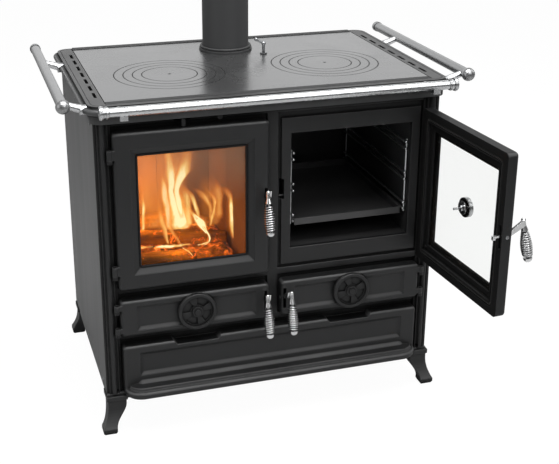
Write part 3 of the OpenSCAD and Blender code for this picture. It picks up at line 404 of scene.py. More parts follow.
def fired_clay(name, colour):
    """Firebrick: sandy grain, pores, soot that thickens upward, and a darker brown towards the right."""
    g = Graph(name)
    grain = g.noise(420, 4, 0.7)
    pores = g.node("ShaderNodeTexVoronoi")
    pores.inputs["Scale"].default_value = 130
    g.link(g.coordinates(), pores.inputs["Vector"])
    cloud = g.noise(12, 4, 0.6)
    tone = g.mix(g.spread(cloud, 0.3, 0.7), times(colour, 0.75), times(colour, 1.15))
    tone = g.mix(g.spread(grain, 0.4, 0.8, 0.0, 0.3), tone, times(colour, 0.45))
    place = g.axes(g.object_place())
    height = g.spread(place["Z"], 0.56, 0.72, 0.0, 0.5)
    tone = g.mix(g.math("MULTIPLY", height, g.spread(cloud, 0.3, 0.6)), tone, (0.03, 0.018, 0.01))
    # Darker and browner towards the right
    tone = g.mix(g.spread(place["X"], -0.21, -0.08, 0.0, 0.75), tone, (0.085, 0.036, 0.009))
    normal = g.bump(grain, 0.5, 0.0008)
    normal = g.bump(g.spread(pores.outputs["Distance"], 0.0, 0.3), 0.35, 0.0008, normal)
    g.principled(tone, 0.95, normal, Specular_IOR_Level=0.1)
    return g.owner


def braided(name, colour):
    """Woven glass rope: two crossing strand directions and singed patches."""
    g = Graph(name)
    bands = []
    for mirror, distortion in ((1, 1.5), (-1, 0.0)):
        wave = g.node("ShaderNodeTexWave", wave_type="BANDS", bands_direction="DIAGONAL")
        wave.inputs["Scale"].default_value = 210
        wave.inputs["Distortion"].default_value = distortion
        g.link(g.coordinates((mirror, 1, 1)), wave.inputs["Vector"])
        bands.append(wave.outputs["Fac"])
    strands = g.math("MAXIMUM", *bands)
    fuzz = g.noise(700, 3, 0.7)
    tone = g.mix(g.spread(strands, 0.2, 0.9), times(colour, 0.45), colour)
    tone = g.mix(g.spread(g.noise(16, 3, 0.6), 0.5, 0.75, 0.0, 0.6), tone, (0.012, 0.011, 0.01))
    normal = g.bump(strands, 0.7, 0.0006)
    normal = g.bump(fuzz, 0.4, 0.0003, normal)
    g.principled(tone, 0.95, normal, Sheen_Weight=0.08, Specular_IOR_Level=0.2)
    return g.owner


def bark(name):
    """Charred bark with furrows along the log and glowing cracks."""
    g = Graph(name)
    furrow = g.noise(26, 5, 0.7, g.coordinates((0.25, 1, 1.2)), 0.8)
    flake = g.noise(110, 4, 0.7)
    tone = g.ramp(furrow, ((0.32, (0.055, 0.02, 0.002)), (0.5, (0.21, 0.09, 0.007)),
                           (0.68, (0.36, 0.17, 0.016))))
    tone = g.mix(g.spread(flake, 0.45, 0.8, 0.0, 0.5), tone, (0.08, 0.034, 0.006))
    crack = g.spread(g.noise(38, 4, 0.75, distort=1.2), 0.58, 0.68)
    normal = g.bump(furrow, 0.9, 0.006)
    normal = g.bump(flake, 0.6, 0.002, normal)
    shader = g.principled(tone, 0.9, normal, Specular_IOR_Level=0.08)
    shader.inputs["Emission Color"].default_value = (1.0, 0.16, 0.02, 1)
    g.link(g.math("MULTIPLY", crack, 1.1), shader.inputs["Emission Strength"])
    return g.owner


def embers(name):
    """Ember bed: ash-grey crusts over a red to orange glow."""
    g = Graph(name)
    heat = g.noise(34, 4, 0.6, distort=0.5)
    crust = g.noise(150, 4, 0.65)
    tone = g.ramp(crust, ((0.3, (0.055, 0.02, 0.002)), (0.7, (0.28, 0.115, 0.014))))
    glow = g.ramp(heat, ((0.42, (0.05, 0.006, 0.0)), (0.58, (0.75, 0.13, 0.015)),
                         (0.72, (1.0, 0.38, 0.08))))
    shader = g.principled(tone, 0.95, g.bump(crust, 0.7, 0.003), Specular_IOR_Level=0.08)
    g.link(glow, shader.inputs["Emission Color"])
    g.link(g.spread(heat, 0.42, 0.7, 0.02, 1.5), shader.inputs["Emission Strength"])
    return g.owner


def flame(name):
    """Flame sheet: hot core to thin orange rim, by the attributes that flame_sheet() writes."""
    g = Graph(name)
    across, along, power = (g.node("ShaderNodeAttribute", attribute_name=key).outputs["Fac"]
                            for key in ("across", "along", "power"))
    lick = g.noise(11, 4, 0.6, g.coordinates((2.6, 1, 0.8)), 0.5)
    core = g.math("POWER", g.math("SUBTRACT", 1.0, g.math("POWER", across, 2.4), True), 1.5)
    fade = g.math("MULTIPLY", g.spread(along, 0.0, 0.07), g.spread(along, 1.0, 0.55))
    body = g.math("MULTIPLY", core, g.spread(lick, 0.22, 0.62, 0.35, 1.0))
    heat = g.math("MULTIPLY", body, g.math("MULTIPLY", fade, power), True)
    glow = g.ramp(heat, ((0.0, (0.8, 0.2, 0.03)), (0.3, (1.0, 0.36, 0.07)), (0.62, (1.0, 0.68, 0.26)),
                         (0.9, (1.0, 0.93, 0.66))))
    light = g.first("ShaderNodeEmission", Color=glow, Strength=1.2)
    g.surface(g.blend(g.math("MULTIPLY", heat, 1.25, True), g.first("ShaderNodeBsdfTransparent"), light))
    return g.owner


MATERIALS = {
    "cast_black": cast("cast_black", (0.0135, 0.0138, 0.0144), 0.42, wear_and_highlight=0.055, radius=0.0042),
    "face_black": cast("face_black", (0.0125, 0.0127, 0.0132), 0.45, wear_and_highlight=0.06, radius=0.0034),
    # Its inner side gets painted shade
    "door_cast": cast("door_cast", (0.018, 0.0184, 0.019), 0.42, wear_and_highlight=0.05, radius=0.0042,
                      inside=(-0.9976, -0.0698, 0)),
    # Painted shade: a darker copy of cast iron for the hinges
    "hinge_black": cast("hinge_black", (0.004, 0.004, 0.0042), 0.55, wear_and_highlight=0.01),
    # Finer edges, with a darker colour and wider gaps as painted shade
    "disc_cast": cast("disc_cast", (0.0105, 0.0107, 0.0112), 0.45, wear_and_highlight=0.03, radius=0.0014,
                      slit=(0.012, 0.96)),
    # Painted shade: a darker copy of cast iron for the right column
    "shade_black": cast("shade_black", (0.0065, 0.0066, 0.007), 0.5, wear_and_highlight=0.02),
    "panel_grey": sheet_paint("panel_grey", (0.076, 0.0765, 0.078), 0.45, coat=0.1),
    "frame_grey": cast("frame_grey", (0.056, 0.057, 0.058), 0.4, grain=0.25, wear_and_highlight=0.03,
                       slit=(0.02, 0.98)),
    "rim_grey": cast("rim_grey", (0.037, 0.0376, 0.0388), 0.6, grain=0.3, wear_and_highlight=0.02),
    "hob_steel": hob_metal("hob_steel", (0.206, 0.208, 0.211), 0.24),
    "chrome": bright_metal("chrome", (0.75, 0.76, 0.77), 0.22),
    "handle_chrome": bright_metal("handle_chrome", (0.93, 0.935, 0.94), 0.2, gap=(0.014, 0.66)),
    "coil_chrome": bright_metal("coil_chrome", (0.93, 0.935, 0.94), 0.2, gap=(0.008, 0.9)),
    # Satin, and darker than the other chrome as painted shade
    "rail_chrome": bright_metal("rail_chrome", (0.43, 0.435, 0.44), 0.34),
    "steel_pin": bright_metal("steel_pin", (0.42, 0.43, 0.44), 0.3),
    "pipe_black": sheet_paint("pipe_black", (0.042, 0.0425, 0.0435), 0.55, peel=0.2),
    "inner_steel": sheet_paint("inner_steel", (0.11, 0.062, 0.03), 0.7, soot=0.6),
    "oven_enamel": sheet_paint("oven_enamel", (0.034, 0.034, 0.0345), 0.35, peel=0.2, wear_and_highlight=0.03, coat=0.3),
    "firebrick": fired_clay("firebrick", (0.36, 0.205, 0.095)),
    "rack_wire": bright_metal("rack_wire", (0.86, 0.87, 0.88), 0.34),
    "glass": clear_pane("glass", (0.97, 0.975, 0.97), 0.015),
    "fire_pane": clear_pane("fire_pane", (0.96, 0.91, 0.78), 0.008, veil=0.15),
    "seal_rope": braided("seal_rope", (0.011, 0.0108, 0.0105)),
    "tray_enamel": sheet_paint("tray_enamel", (0.044, 0.044, 0.0445), 0.34, wear_and_highlight=0.05, coat=0.3),
}
# Nodes whose look differs from the rest of their slot: the oven door's inner side gets painted shade, the
# hinges and the right column get darker copies as painted shade, the discs have finer edges and a darker
# colour and wider gaps as painted shade, the side rails are satin and darker as painted shade, the latches
# get painted shade in their gaps and the fire's pane is tinted by heat
OWN_LOOK = {
    "oven_door": "door_cast",
    "oven_glass_retainer": "door_cast",
    "hinge_pins": "hinge_black",
    "column_right": "shade_black",
    "ash_disc": "disc_cast",
    "soot_disc": "disc_cast",
    "side_rail_left": "rail_chrome",
    "side_rail_right": "rail_chrome",
    "fire_latch": "handle_chrome",
    "oven_latch": "handle_chrome",
    "ash_latch": "handle_chrome",
    "soot_latch": "handle_chrome",
    "fire_glass": "fire_pane",
}
slots = {entry["node"]: entry["material_slot"] for entry in frame["record"]["subparts"]}
for name, solid in frame["nodes"].items():
    solid.data.materials.clear()
    solid.data.materials.append(MATERIALS[OWN_LOOK.get(name, slots[name])])


# Mesh helpers
def mesh_object(name, points, faces, material, smooth=True):
    """A new piece from points in metres and faces."""
    mesh = bpy.data.meshes.new(name)
    mesh.from_pydata([tuple(p) for p in points], [], faces)
    mesh.validate()
    mesh.update()
    made = bpy.data.objects.new(name, mesh)
    bpy.context.scene.collection.objects.link(made)
    mesh.materials.append(material)
    for polygon in mesh.polygons:
        polygon.use_smooth = smooth
    return made


def tube(points, radius, sides=12, closed=False, wobble=None):
    """Points and faces of a round tube along a path, its frames carried along without spin."""
    count = len(points)
    ways = []
    for k in range(count):
        before = points[k - 1] if closed or k else points[0]
        after = points[(k + 1) % count] if closed or k < count - 1 else points[-1]
        ways.append((after - before).normalized())
    side = ways[0].orthogonal().normalized()
    rings = []
    for k in range(count):
        side = (side - ways[k] * side.dot(ways[k])).normalized()
        up = ways[k].cross(side)
        for s in range(sides):
            angle = 2 * math.pi * s / sides
            r = radius * (wobble(k, s) if wobble else 1.0)
            rings.append(points[k] + side * (r * math.cos(angle)) + up * (r * math.sin(angle)))
    faces = []
    for k in range(count if closed else count - 1):
        for s in range(sides):
            n = (s + 1) % sides
            a, b = k * sides, ((k + 1) % count) * sides
            faces.append((a + s, a + n, b + n, b + s))
    if not closed:
        faces.append(tuple(range(sides))[::-1])
        faces.append(tuple((count - 1) * sides + s for s in range(sides)))
    return rings, faces


def lathe(profile, segments, place):
    """Turned shape: profile of (radius, height) pairs, each point passed through place()."""
    points, faces = [], []
    for radius, height in profile:
        for s in range(segments):
            angle = 2 * math.pi * s / segments
            points.append(place(radius * math.cos(angle), radius * math.sin(angle), height))
    for k in range(len(profile) - 1):
        for s in range(segments):
            n = (s + 1) % segments
            a, b = k * segments, (k + 1) * segments
            faces.append((a + s, a + n, b + n, b + s))
    return points, faces


def joined(parts):
    """One list of points and faces from several."""
    points, faces = [], []
    for more_points, more_faces in parts:
        start = len(points)
        points += more_points
        faces += [tuple(start + v for v in face) for face in more_faces]
    return points, faces


def grid(rows, columns):
    """Faces of a sheet of (rows + 1) by (columns + 1) points."""
    faces = []
    for j in range(rows):
        for i in range(columns):
            a = j * (columns + 1) + i
            faces.append((a, a + 1, a + columns + 2, a + columns + 1))
    return faces


# Coil handles, finer than their solids
TURNS = 11
TURN_STEPS = 26
COIL_TOP = -30.0
COIL_LENGTH = 61.6
BELLY_RADIUS = 12.0
BELLY_RISE = 5.6
HANDLE_LEAN = math.radians(-12.3)
HANDLE_X, HANDLE_Y, HANDLE_RISE = 31, -48, 30
# Doors with a handle: name, middle height, side of the stove, whether it stands open
HANDLES = (("fire", UPPER_MID, -1, False), ("oven", UPPER_MID, 1, True),
           ("ash", LOWER_MID, -1, False), ("soot", LOWER_MID, 1, False))


def handle_point(p, mid, side, opened):
    """A point of a handle's own frame, carried to its door."""
    p = Matrix.Rotation(HANDLE_LEAN, 3, "X") @ Vector(p) + Vector((HANDLE_X, HANDLE_Y, mid + HANDLE_RISE))
    return on_door(p, side, opened)


def coil_belly(turn):
    """Radius of the coil, which swells to a belly and shrinks again."""
    return BELLY_RADIUS - BELLY_RISE * (1 - math.sin(math.radians(5 + 135 * turn / TURNS)))


for door, mid, side, opened in HANDLES:
    path = []
    for k in range(TURNS * TURN_STEPS + 1):
        turn = k / TURN_STEPS
        r = coil_belly(turn)
        angle = 2 * math.pi * turn
        spot = (r * math.cos(angle), r * math.sin(angle), COIL_TOP - COIL_LENGTH / TURNS * turn)
        path.append(handle_point(spot, mid, side, opened))
    coil = mesh_object(f"{door}_coil", *tube(path, radius=0.0018, sides=10), MATERIALS["coil_chrome"])
    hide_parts(f"{door}_handle_coil")
    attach(coil, f"{door}_latch")


# Front and rear rims of the frame, laid over the hob plate's edges
def strip(profile, x):
    """A bar between two places along X, with an outline of (y, z) points."""
    spots = [point(end, y, z) for end in x for y, z in profile]
    count = len(profile)
    sides = [(k, (k + 1) % count, count + (k + 1) % count, count + k) for k in range(count)]
    return spots, sides + [tuple(reversed(range(count))), tuple(range(count, 2 * count))]


RIM_FOOT = 850.05
RIM_ENDS = (-398.5, 398.5)
RIMS = (("front_rim", ((-1.8, RIM_FOOT), (-1.4, 850.45), (16.2, 850.6), (17.1, 850.4), (17.4, RIM_FOOT))),
        ("rear_rim", ((HOB_DEPTH - 18.2, RIM_FOOT), (HOB_DEPTH - 17.6, 851.4), (HOB_DEPTH - 16.6, 851.9),
                      (HOB_DEPTH + 2.4, 852.2), (HOB_DEPTH + 3.4, 851.6), (HOB_DEPTH + 3.9, RIM_FOOT))))
for name, outline in RIMS:
    rim = mesh_object(name, *strip(outline, RIM_ENDS), MATERIALS["rim_grey"], smooth=False)
    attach(rim, "stove")


# Sealing rope round both windows
def rounded_path(x, z, corner, y, pieces=8):
    """A closed path along a rectangle's outline, with round corners."""
    spots = []
    for cx, cz, start in ((x[1] - corner, z[1] - corner, 0), (x[0] + corner, z[1] - corner, 90),
                          (x[0] + corner, z[0] + corner, 180), (x[1] - corner, z[0] + corner, 270)):
        for k in range(pieces + 1):
            angle = math.radians(start + 90 * k / pieces)
            spots.append(Vector((cx + corner * math.cos(angle), y, cz + corner * math.sin(angle))))
    return spots


def resampled(spots, step):
    """Even steps along a closed path."""
    total = sum((spots[(k + 1) % len(spots)] - spots[k]).length for k in range(len(spots)))
    count = int(total / step)
    result, k, walked = [], 0, 0.0
    for i in range(count):
        target = total * i / count
        while True:
            a, b = spots[k % len(spots)], spots[(k + 1) % len(spots)]
            length = (b - a).length
            if walked + length >= target or k >= len(spots) - 1:
                result.append(a.lerp(b, min(1.0, (target - walked) / length if length else 0)))
                break
            walked += length
            k += 1
    return result


def woven(k, s):
    """Rise and fall of the rope's strands."""
    return 1.0 + 0.05 * math.sin(2.1 * k + math.pi * s) * (1 if s % 2 else -1)


rope_line = resampled(rounded_path(x=(39.0, 368.0), z=(410.0, 759.0), corner=9.5, y=10.7), step=2.2)
for door, side, opened in GLAZED:
    path = [on_door(spot, side, opened) for spot in rope_line]
    rope = mesh_object(f"{door}_rope", *tube(path, radius=0.0038, closed=True, wobble=woven),
                       MATERIALS["seal_rope"])
    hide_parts(f"{door}_door_seal")
    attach(rope, f"{door}_door")


# Screws and bolt heads
def screw(at, way, r, rise=1.0):
    """Button head with a hexagon socket; way is the direction it faces, rise stretches its height."""
    way = Vector(way).normalized()
    side = way.orthogonal().normalized()
    up = way.cross(side)
    base = point(*at)

    def place(a, b, h):
        return base + (side * a + up * b + way * h * rise) / 1000

    socket_top = (0.46 * r, 0.62 * r)
    dome_top = (0.54 * r, 0.63 * r)
    socket = [(0.001, 0.18 * r), (0.45 * r, 0.18 * r), socket_top]
    dome = [dome_top, (0.72 * r, 0.56 * r), (0.88 * r, 0.4 * r), (0.98 * r, 0.16 * r), (r, -0.1 * r)]
    return joined([lathe(socket, 6, place), lathe(dome, 24, place), lathe([socket_top, dome_top], 24, place)])


LATCH_EDGE = 16.3
for door, mid, side, opened in HANDLES:
    if opened:
        at = swung((LATCH_EDGE, 0, mid))
        way = Matrix.Rotation(OPEN_ANGLE, 3, "Z") @ Vector((-1, 0, 0))
    else:
        at, way = Vector((side * LATCH_EDGE, 0, mid)), Vector((-side, 0, 0))
    bolt = mesh_object(f"{door}_pivot_bolt", *screw(at, way, r=4.6, rise=0.24), MATERIALS["steel_pin"])
    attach(bolt, f"{door}_door")


# Black putty line round both panes
putty = cast("putty", (0.003, 0.003, 0.003), 0.7, wear_and_highlight=0.0)
putty_line = resampled(rounded_path(x=(72.2, 336.0), z=(443.2, 724.4), corner=3.0, y=-4.8), step=4.0)
for door, side, opened in GLAZED:
    path = [on_door(spot, side, opened) for spot in putty_line]
    gasket = mesh_object(f"{door}_gasket", *tube(path, radius=0.0028, sides=10, closed=True), putty)
    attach(gasket, f"{door}_door")


# Screws of the side and rear panels and a bolt at each column's foot, all one piece
PANEL_SCREW = 3.5
FOOT_BOLT = 4.2
fixed_screws = []
for side in (-1, 1):
    fixed_screws.append(screw((side * 406, 17.6, 110), (0, -1, 0), FOOT_BOLT))
    for z in (116, 788):
        for y in (60, 300, 520):
            fixed_screws.append(screw((side * 430.5, y, z), (side, 0, 0), PANEL_SCREW))
    for x in (120, 300, 410):
        for z in (118, 790):
            fixed_screws.append(screw((side * x, 556, z), (0, 1, 0), PANEL_SCREW))
screws = mesh_object("panel_screws", *joined(fixed_screws), MATERIALS["steel_pin"])
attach(screws, "stove")


# Bright ball ends on the oven racks' rails, smaller on the level that the tray slides along
RAIL_X = (56.1, 353.9)
RAIL_Z = (518.9, 501.9, 600.1, 583.1, 681.1, 664.1)
RAIL_FRONT = 25.5
TRAY_RAIL_Z = 501.9
BALL = 3.5
TRAY_BALL = 2.45
balls = []
for x in RAIL_X:
    for z in RAIL_Z:
        ball = TRAY_BALL if z == TRAY_RAIL_Z else BALL
        profile = [(ball * math.sin(math.radians(a)), -ball * math.cos(math.radians(a)))
                   for a in range(1, 180, 14)]
        balls.append(lathe(profile, 20, lambda a, b, h, x=x, z=z: point(x + a, RAIL_FRONT - h, z + b)))
rack_ends = mesh_object("rack_ends", *joined(balls), MATERIALS["chrome"])
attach(rack_ends, "stove")


# Firewood, embers and flames
def log(start, end, radius, flat, seed):
    """A split log: ragged round side, side split off at the height flat, blunt sawn ends."""
    start, end = Vector(start), Vector(end)
    way = (end - start).normalized()
    side = way.cross(Vector((0, 0, 1))).normalized()
    up = side.cross(way)
    rings, around, blunt = 46, 40, 0.97
    points, faces = [], []
    for k in range(rings + 1):
        t = k / rings
        centre = start.lerp(end, t)
        for s in range(around):
            angle = 2 * math.pi * s / around
            a, b = math.cos(angle), math.sin(angle)
            b = min(b, flat)
            r = radius * (1 + 0.10 * noise.noise(Vector((3 * t + seed, a * 1.5, b * 1.5)))
                          + 0.05 * noise.noise(Vector((14 * t, a * 6 + seed, b * 6))))
            if k in (0, rings):
                r *= blunt
            points.append(point(*(centre + side * (a * r) + up * (b * r))))
    for k in range(rings):
        for s in range(around):
            n = (s + 1) % around
            faces.append((k * around + s, k * around + n, (k + 1) * around + n, (k + 1) * around + s))
    faces.append(tuple(range(around))[::-1])
    faces.append(tuple(rings * around + s for s in range(around)))
    return points, faces


logs = mesh_object("firewood", *joined([
    log((-322, 214, 427), (-72, 196, 405), 20, 0.86, 1.0),
    log((-334, 108, 404), (-176, 122, 392), 23, 0.8, 5.0),
    log((-300, 320, 414), (-120, 336, 420), 24, 0.9, 13.0),
]), bark("charred_bark"))
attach(logs, "stove")


# Ember bed, falling to the firebricks all round and heaped at the right
BED_LEFT, BED_RIGHT = -352, -66
BED_FRONT, BED_BACK = 34, 396
BED_FLOOR = 385.5
BED_DEPTH = 14
EDGE_FALL, FRONT_FALL = 26, 50
COLUMNS, ROWS = 74, 66
ember_points = []
for j in range(ROWS + 1):
    for i in range(COLUMNS + 1):
        x = BED_LEFT + (BED_RIGHT - BED_LEFT) * i / COLUMNS
        y = BED_FRONT + (BED_BACK - BED_FRONT) * j / ROWS
        fall = min(1.0, min(x - BED_LEFT, BED_RIGHT - x, BED_BACK - y) / EDGE_FALL)
        fall *= min(1.0, (y - BED_FRONT) / FRONT_FALL)
        lumps = noise.noise(Vector((x / 16, y / 16, 3))) * 7 + noise.noise(Vector((x / 6, y / 6, 8))) * 3.5
        hill = 12 * noise.noise(Vector((x / 70, y / 70, 5)))
        heap = 16 * math.exp(-((x + 92) / 42) ** 2 - ((y - 130) / 55) ** 2)
        z = BED_FLOOR + max(0.0, fall) * (BED_DEPTH + heap + max(-8, lumps + hill))
        ember_points.append(point(x, y, z))
bed = mesh_object("ember_bed", ember_points, grid(ROWS, COLUMNS), embers("embers"))
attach(bed, "stove")


def smooth_path(knots, count):
    """A smooth curve through a few (x, z, half width) knots."""
    result = []
    for i in range(count + 1):
        t = i / count * (len(knots) - 1)
        k = min(int(t), len(knots) - 2)
        f = t - k
        p = [Vector(knots[min(max(k + d, 0), len(knots) - 1)]) for d in (-1, 0, 1, 2)]
        result.append(0.5 * (2 * p[1] + (p[2] - p[0]) * f + (2 * p[0] - 5 * p[1] + 4 * p[2] - p[3]) * f * f
                             + (3 * p[1] - p[0] - 3 * p[2] + p[3]) * f ** 3))
    return result


flame_material = flame("flame")


def flame_sheet(name, points, across, along, power, rows, columns):
    """A flame piece; across and along say for each point how far from the spine and its foot it is."""
    made = mesh_object(name, points, grid(rows, columns), flame_material)
    for key, values in (("across", across), ("along", along), ("power", [power] * len(points))):
        made.data.attributes.new(key, "FLOAT", "POINT").data.foreach_set("value", values)
    made.visible_shadow = made.visible_glossy = False
    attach(made, "stove")


# Tall flames: depth, (x, z, half width) knots, power
TONGUES = (
    (226, ((-193, 425, 36), (-191, 450, 33), (-192, 469, 29), (-195, 490, 23), (-201, 507, 18),
           (-206, 524, 13), (-208, 538, 10), (-206, 552, 11), (-207, 568, 14), (-209, 590, 17),
           (-212, 612, 16), (-216, 640, 14), (-218, 690, 10), (-219, 745, 5)), 1.5),
    (232, ((-215, 426, 10), (-216, 457, 11), (-218, 485, 13), (-222, 513, 13), (-224, 536, 12),
           (-227, 558, 9), (-229, 577, 7), (-229, 610, 4)), 1.3),
    (222, ((-182, 460, 9), (-188, 496, 9), (-191, 513, 10), (-194, 530, 10), (-193, 546, 11),
           (-189, 560, 14), (-183, 573, 18), (-176, 588, 22), (-172, 607, 23), (-168, 626, 22),
           (-163, 665, 16), (-158, 715, 7)), 1.5),
    (234, ((-171, 425, 22), (-173, 456, 19), (-182, 488, 17), (-186, 520, 13), (-186, 545, 6)), 0.85),
    (160, ((-132, 436, 3), (-137, 447, 8), (-143, 459, 14), (-149, 471, 15), (-160, 486, 10),
           (-171, 501, 6.5), (-182, 524, 3)), 2.0),
    (158, ((-141, 405, 2.6), (-130, 411, 3.4), (-124, 421, 3.6), (-127, 433, 3.6), (-134, 445, 4.4),
           (-144, 462, 6), (-156, 480, 5), (-170, 500, 3)), 1.6),
    (224, ((-138, 440, 6.5), (-139, 467, 7.5), (-144, 490, 8), (-150, 510, 9), (-158, 528, 8.5),
           (-175, 545, 8)), 0.85),
    (232, ((-159, 430, 14), (-166, 485, 16), (-168, 516, 18), (-171, 535, 15), (-176, 552, 6)), 0.66),
    (228, ((-102, 440, 6), (-103, 479, 8), (-111, 497, 11), (-122, 515, 12.5), (-135, 530, 12),
           (-150, 540, 7)), 0.72),
    (220, ((-107, 428, 5.5), (-100, 457, 7), (-95, 480, 7.5), (-95, 502, 8), (-103, 520, 10),
           (-117, 537, 9)), 0.9),
    (150, ((-58, 416, 6), (-64, 437, 9), (-67, 460, 9.5), (-68, 487, 9.5), (-69, 515, 9.5), (-70, 534, 10),
           (-78, 551, 12), (-92, 566, 11)), 1.1),
    (232, ((-80, 440, 15), (-82, 500, 18), (-84, 517, 22), (-88, 532, 22), (-96, 550, 18),
           (-101, 575, 9)), 0.42),
    (190, ((-291, 450, 8), (-290, 476, 7.5), (-289, 498, 7), (-286, 519, 6), (-288, 541, 6),
           (-290, 570, 4)), 0.95),
    (170, ((-231, 412, 4), (-236, 438, 7), (-241, 461, 9), (-247, 484, 10.5), (-251, 506, 11),
           (-253, 528, 9), (-253, 565, 6)), 0.6),
    (170, ((-198, 408, 4), (-213, 436, 7.5), (-224, 456, 9), (-234, 477, 9), (-243, 505, 6)), 0.5),
    (242, ((-196, 425, 84), (-206, 480, 70), (-212, 536, 62), (-208, 600, 60), (-204, 660, 52),
           (-202, 745, 32)), 0.42),
    (250, ((-256, 430, 44), (-262, 500, 46), (-266, 580, 40), (-262, 670, 22)), 0.36),
    (236, ((-102, 425, 36), (-106, 480, 36), (-112, 530, 30), (-118, 575, 12)), 0.36),
)
TONGUE_TURN = 0.28
TONGUE_ROWS, TONGUE_COLUMNS = 30, 14


def tongue(name, y, knots, power):
    """A curved flame sheet over its spine, its right side turned a little to the back."""
    points, across, along = [], [], []
    for k, (x, z, half) in enumerate(smooth_path(knots, TONGUE_ROWS)):
        for s in range(TONGUE_COLUMNS + 1):
            u = 2 * s / TONGUE_COLUMNS - 1
            bow = 0.25 * half * (1 - u * u)
            dx = u * half * math.cos(TONGUE_TURN) + bow * math.sin(TONGUE_TURN)
            dy = u * half * math.sin(TONGUE_TURN) - bow * math.cos(TONGUE_TURN)
            sway = 2.5 * noise.noise(Vector((x / 30, z / 26, u + TONGUE_TURN)))
            points.append(point(x + dx + sway, y + dy, z))
            across.append(abs(u))
            along.append(k / TONGUE_ROWS)
    flame_sheet(name, points, across, along, power, TONGUE_ROWS, TONGUE_COLUMNS)


# Bright tongues also have a wide, weak halo behind them
HALO_FROM = 0.9
HALO_WIDTH = 1.8
HALO_DEPTH = 13
HALO_POWER = 0.17
for index, (y, knots, power) in enumerate(TONGUES):
    tongue(f"flame_{index}", y, knots, power)
    if power > HALO_FROM:
        halo = [(x, z, HALO_WIDTH * half) for x, z, half in knots]
        tongue(f"flame_{index}_halo", y + HALO_DEPTH, halo, power * HALO_POWER)


# Low flames licking along the front log and the embers, in the same form
LICKS = (
    (100, ((-276, 442, 1.2), (-264, 442, 3.4), (-252, 441, 5.2), (-240, 439, 4.6), (-230, 439, 2.0)), 1.4),
    (104, ((-246, 440, 1.5), (-234, 439, 4.2), (-220, 437, 5.0), (-204, 438, 4.2), (-188, 438, 1.6)), 0.75),
    (88, ((-212, 437, 1.6), (-204, 431, 3.4), (-197, 426, 3.8), (-191, 419, 3.0), (-186, 412, 1.2)), 0.95),
    (100, ((-322, 445, 2.0), (-310, 445, 4.0), (-298, 445, 2.4), (-284, 444, 1.0)), 0.8),
    (150, ((-158, 412, 1.2), (-146, 413, 2.6), (-134, 416, 2.8), (-126, 418, 1.5)), 0.9),
)
LICK_ROWS, LICK_COLUMNS = 40, 8
for index, (y, knots, power) in enumerate(LICKS):
    points, across, along = [], [], []
    for k, (x, z, half) in enumerate(smooth_path(knots, LICK_ROWS)):
        ragged = 1 + 0.5 * noise.noise(Vector((x / 7, z / 7, index)))
        for s in range(LICK_COLUMNS + 1):
            u = 2 * s / LICK_COLUMNS - 1
            points.append(point(x, y + 0.3 * u * half, z + u * half * ragged))
            across.append(abs(u))
            along.append(0.08 + 0.4 * abs(2 * k / LICK_ROWS - 1))
    flame_sheet(f"lick_{index}", points, across, along, power, LICK_ROWS, LICK_COLUMNS)


# Thermometer dial: white face, ticks, figures and needle
DIAL_X, DIAL_Y, DIAL_Z = 203.5, -2, UPPER_MID + 2


def dial_place(a, b, h):
    """a to the dial's right, b up, h out of it, in millimetres from its seat on the open door's glass."""
    return on_door(Vector((DIAL_X + a, DIAL_Y - h, DIAL_Z + b)), 1, True)


DIAL_START = 225
DIAL_SWEEP = 270
TICKS = 41
TICK_END = 18
INK_BACK, INK_FRONT = 8.66, 8.8
FIGURE_RING = 11.9
FIGURE_SIZE = 0.0036
# Faces of a block with eight corners: its front, its back, its sides
FRONT, BACK = (4, 5, 6, 7), (0, 3, 2, 1)
SIDES = [(0, 1, 5, 4), (1, 2, 6, 5), (2, 3, 7, 6), (3, 0, 4, 7)]

paint = Graph("dial_white")
paint_tone = paint.mix(paint.spread(paint.noise(60, 3), 0.3, 0.7), (0.78, 0.77, 0.74), (0.86, 0.85, 0.83))
paint.principled(paint_tone, 0.4, paint.bump(paint.noise(800), 0.05, 0.0001))
ink = Graph("dial_ink")
ink.principled(ink.mix(ink.noise(90), (0.012, 0.012, 0.013), (0.02, 0.02, 0.021)), 0.5)
needle_paint = Graph("needle_red")
needle_paint.principled(needle_paint.mix(needle_paint.noise(90), (0.45, 0.02, 0.015), (0.5, 0.03, 0.02)), 0.4)

face_profile = [(0.01, 8.65), (18.5, 8.65), (20.6, 8.9), (20.9, 9.3)]
face = mesh_object("dial_face", *lathe(face_profile, 48, dial_place), paint.owner)
tick_parts = []
for k in range(TICKS):
    angle = math.radians(DIAL_START - DIAL_SWEEP * k / (TICKS - 1))
    inner, half = (16.6, 0.16) if k % 5 else (15.0, 0.32)
    c, s = math.cos(angle), math.sin(angle)
    outline = ((inner, -half), (TICK_END, -half), (TICK_END, half), (inner, half))
    corners = [dial_place(r * c - w * s, r * s + w * c, h) for h in (INK_BACK, INK_FRONT) for r, w in outline]
    tick_parts.append((corners, [FRONT, *SIDES]))
ticks = mesh_object("dial_ticks", *joined(tick_parts), ink.owner, smooth=False)
needle_outline = ((-5.2, -3.6), (-4.4, -4.6), (11.0, 9.3), (10.6, 9.8))
needle_points = [dial_place(a, b, h) for h in (9.2, 9.7) for a, b in needle_outline]
hub = lathe([(2.2, 9.0), (2.2, 10.0), (1.6, 10.4), (0.01, 10.5)], 20, dial_place)
needle = mesh_object("dial_needle", *joined([(needle_points, [FRONT, BACK, *SIDES]), hub]),
                     needle_paint.owner, smooth=False)
figures = []
right = (dial_place(1, 0, INK_FRONT) - dial_place(0, 0, INK_FRONT)).normalized()
out = (dial_place(0, 0, INK_FRONT + 1) - dial_place(0, 0, INK_FRONT)).normalized()
upright = Matrix((right, out.cross(right), out)).transposed().to_4x4()
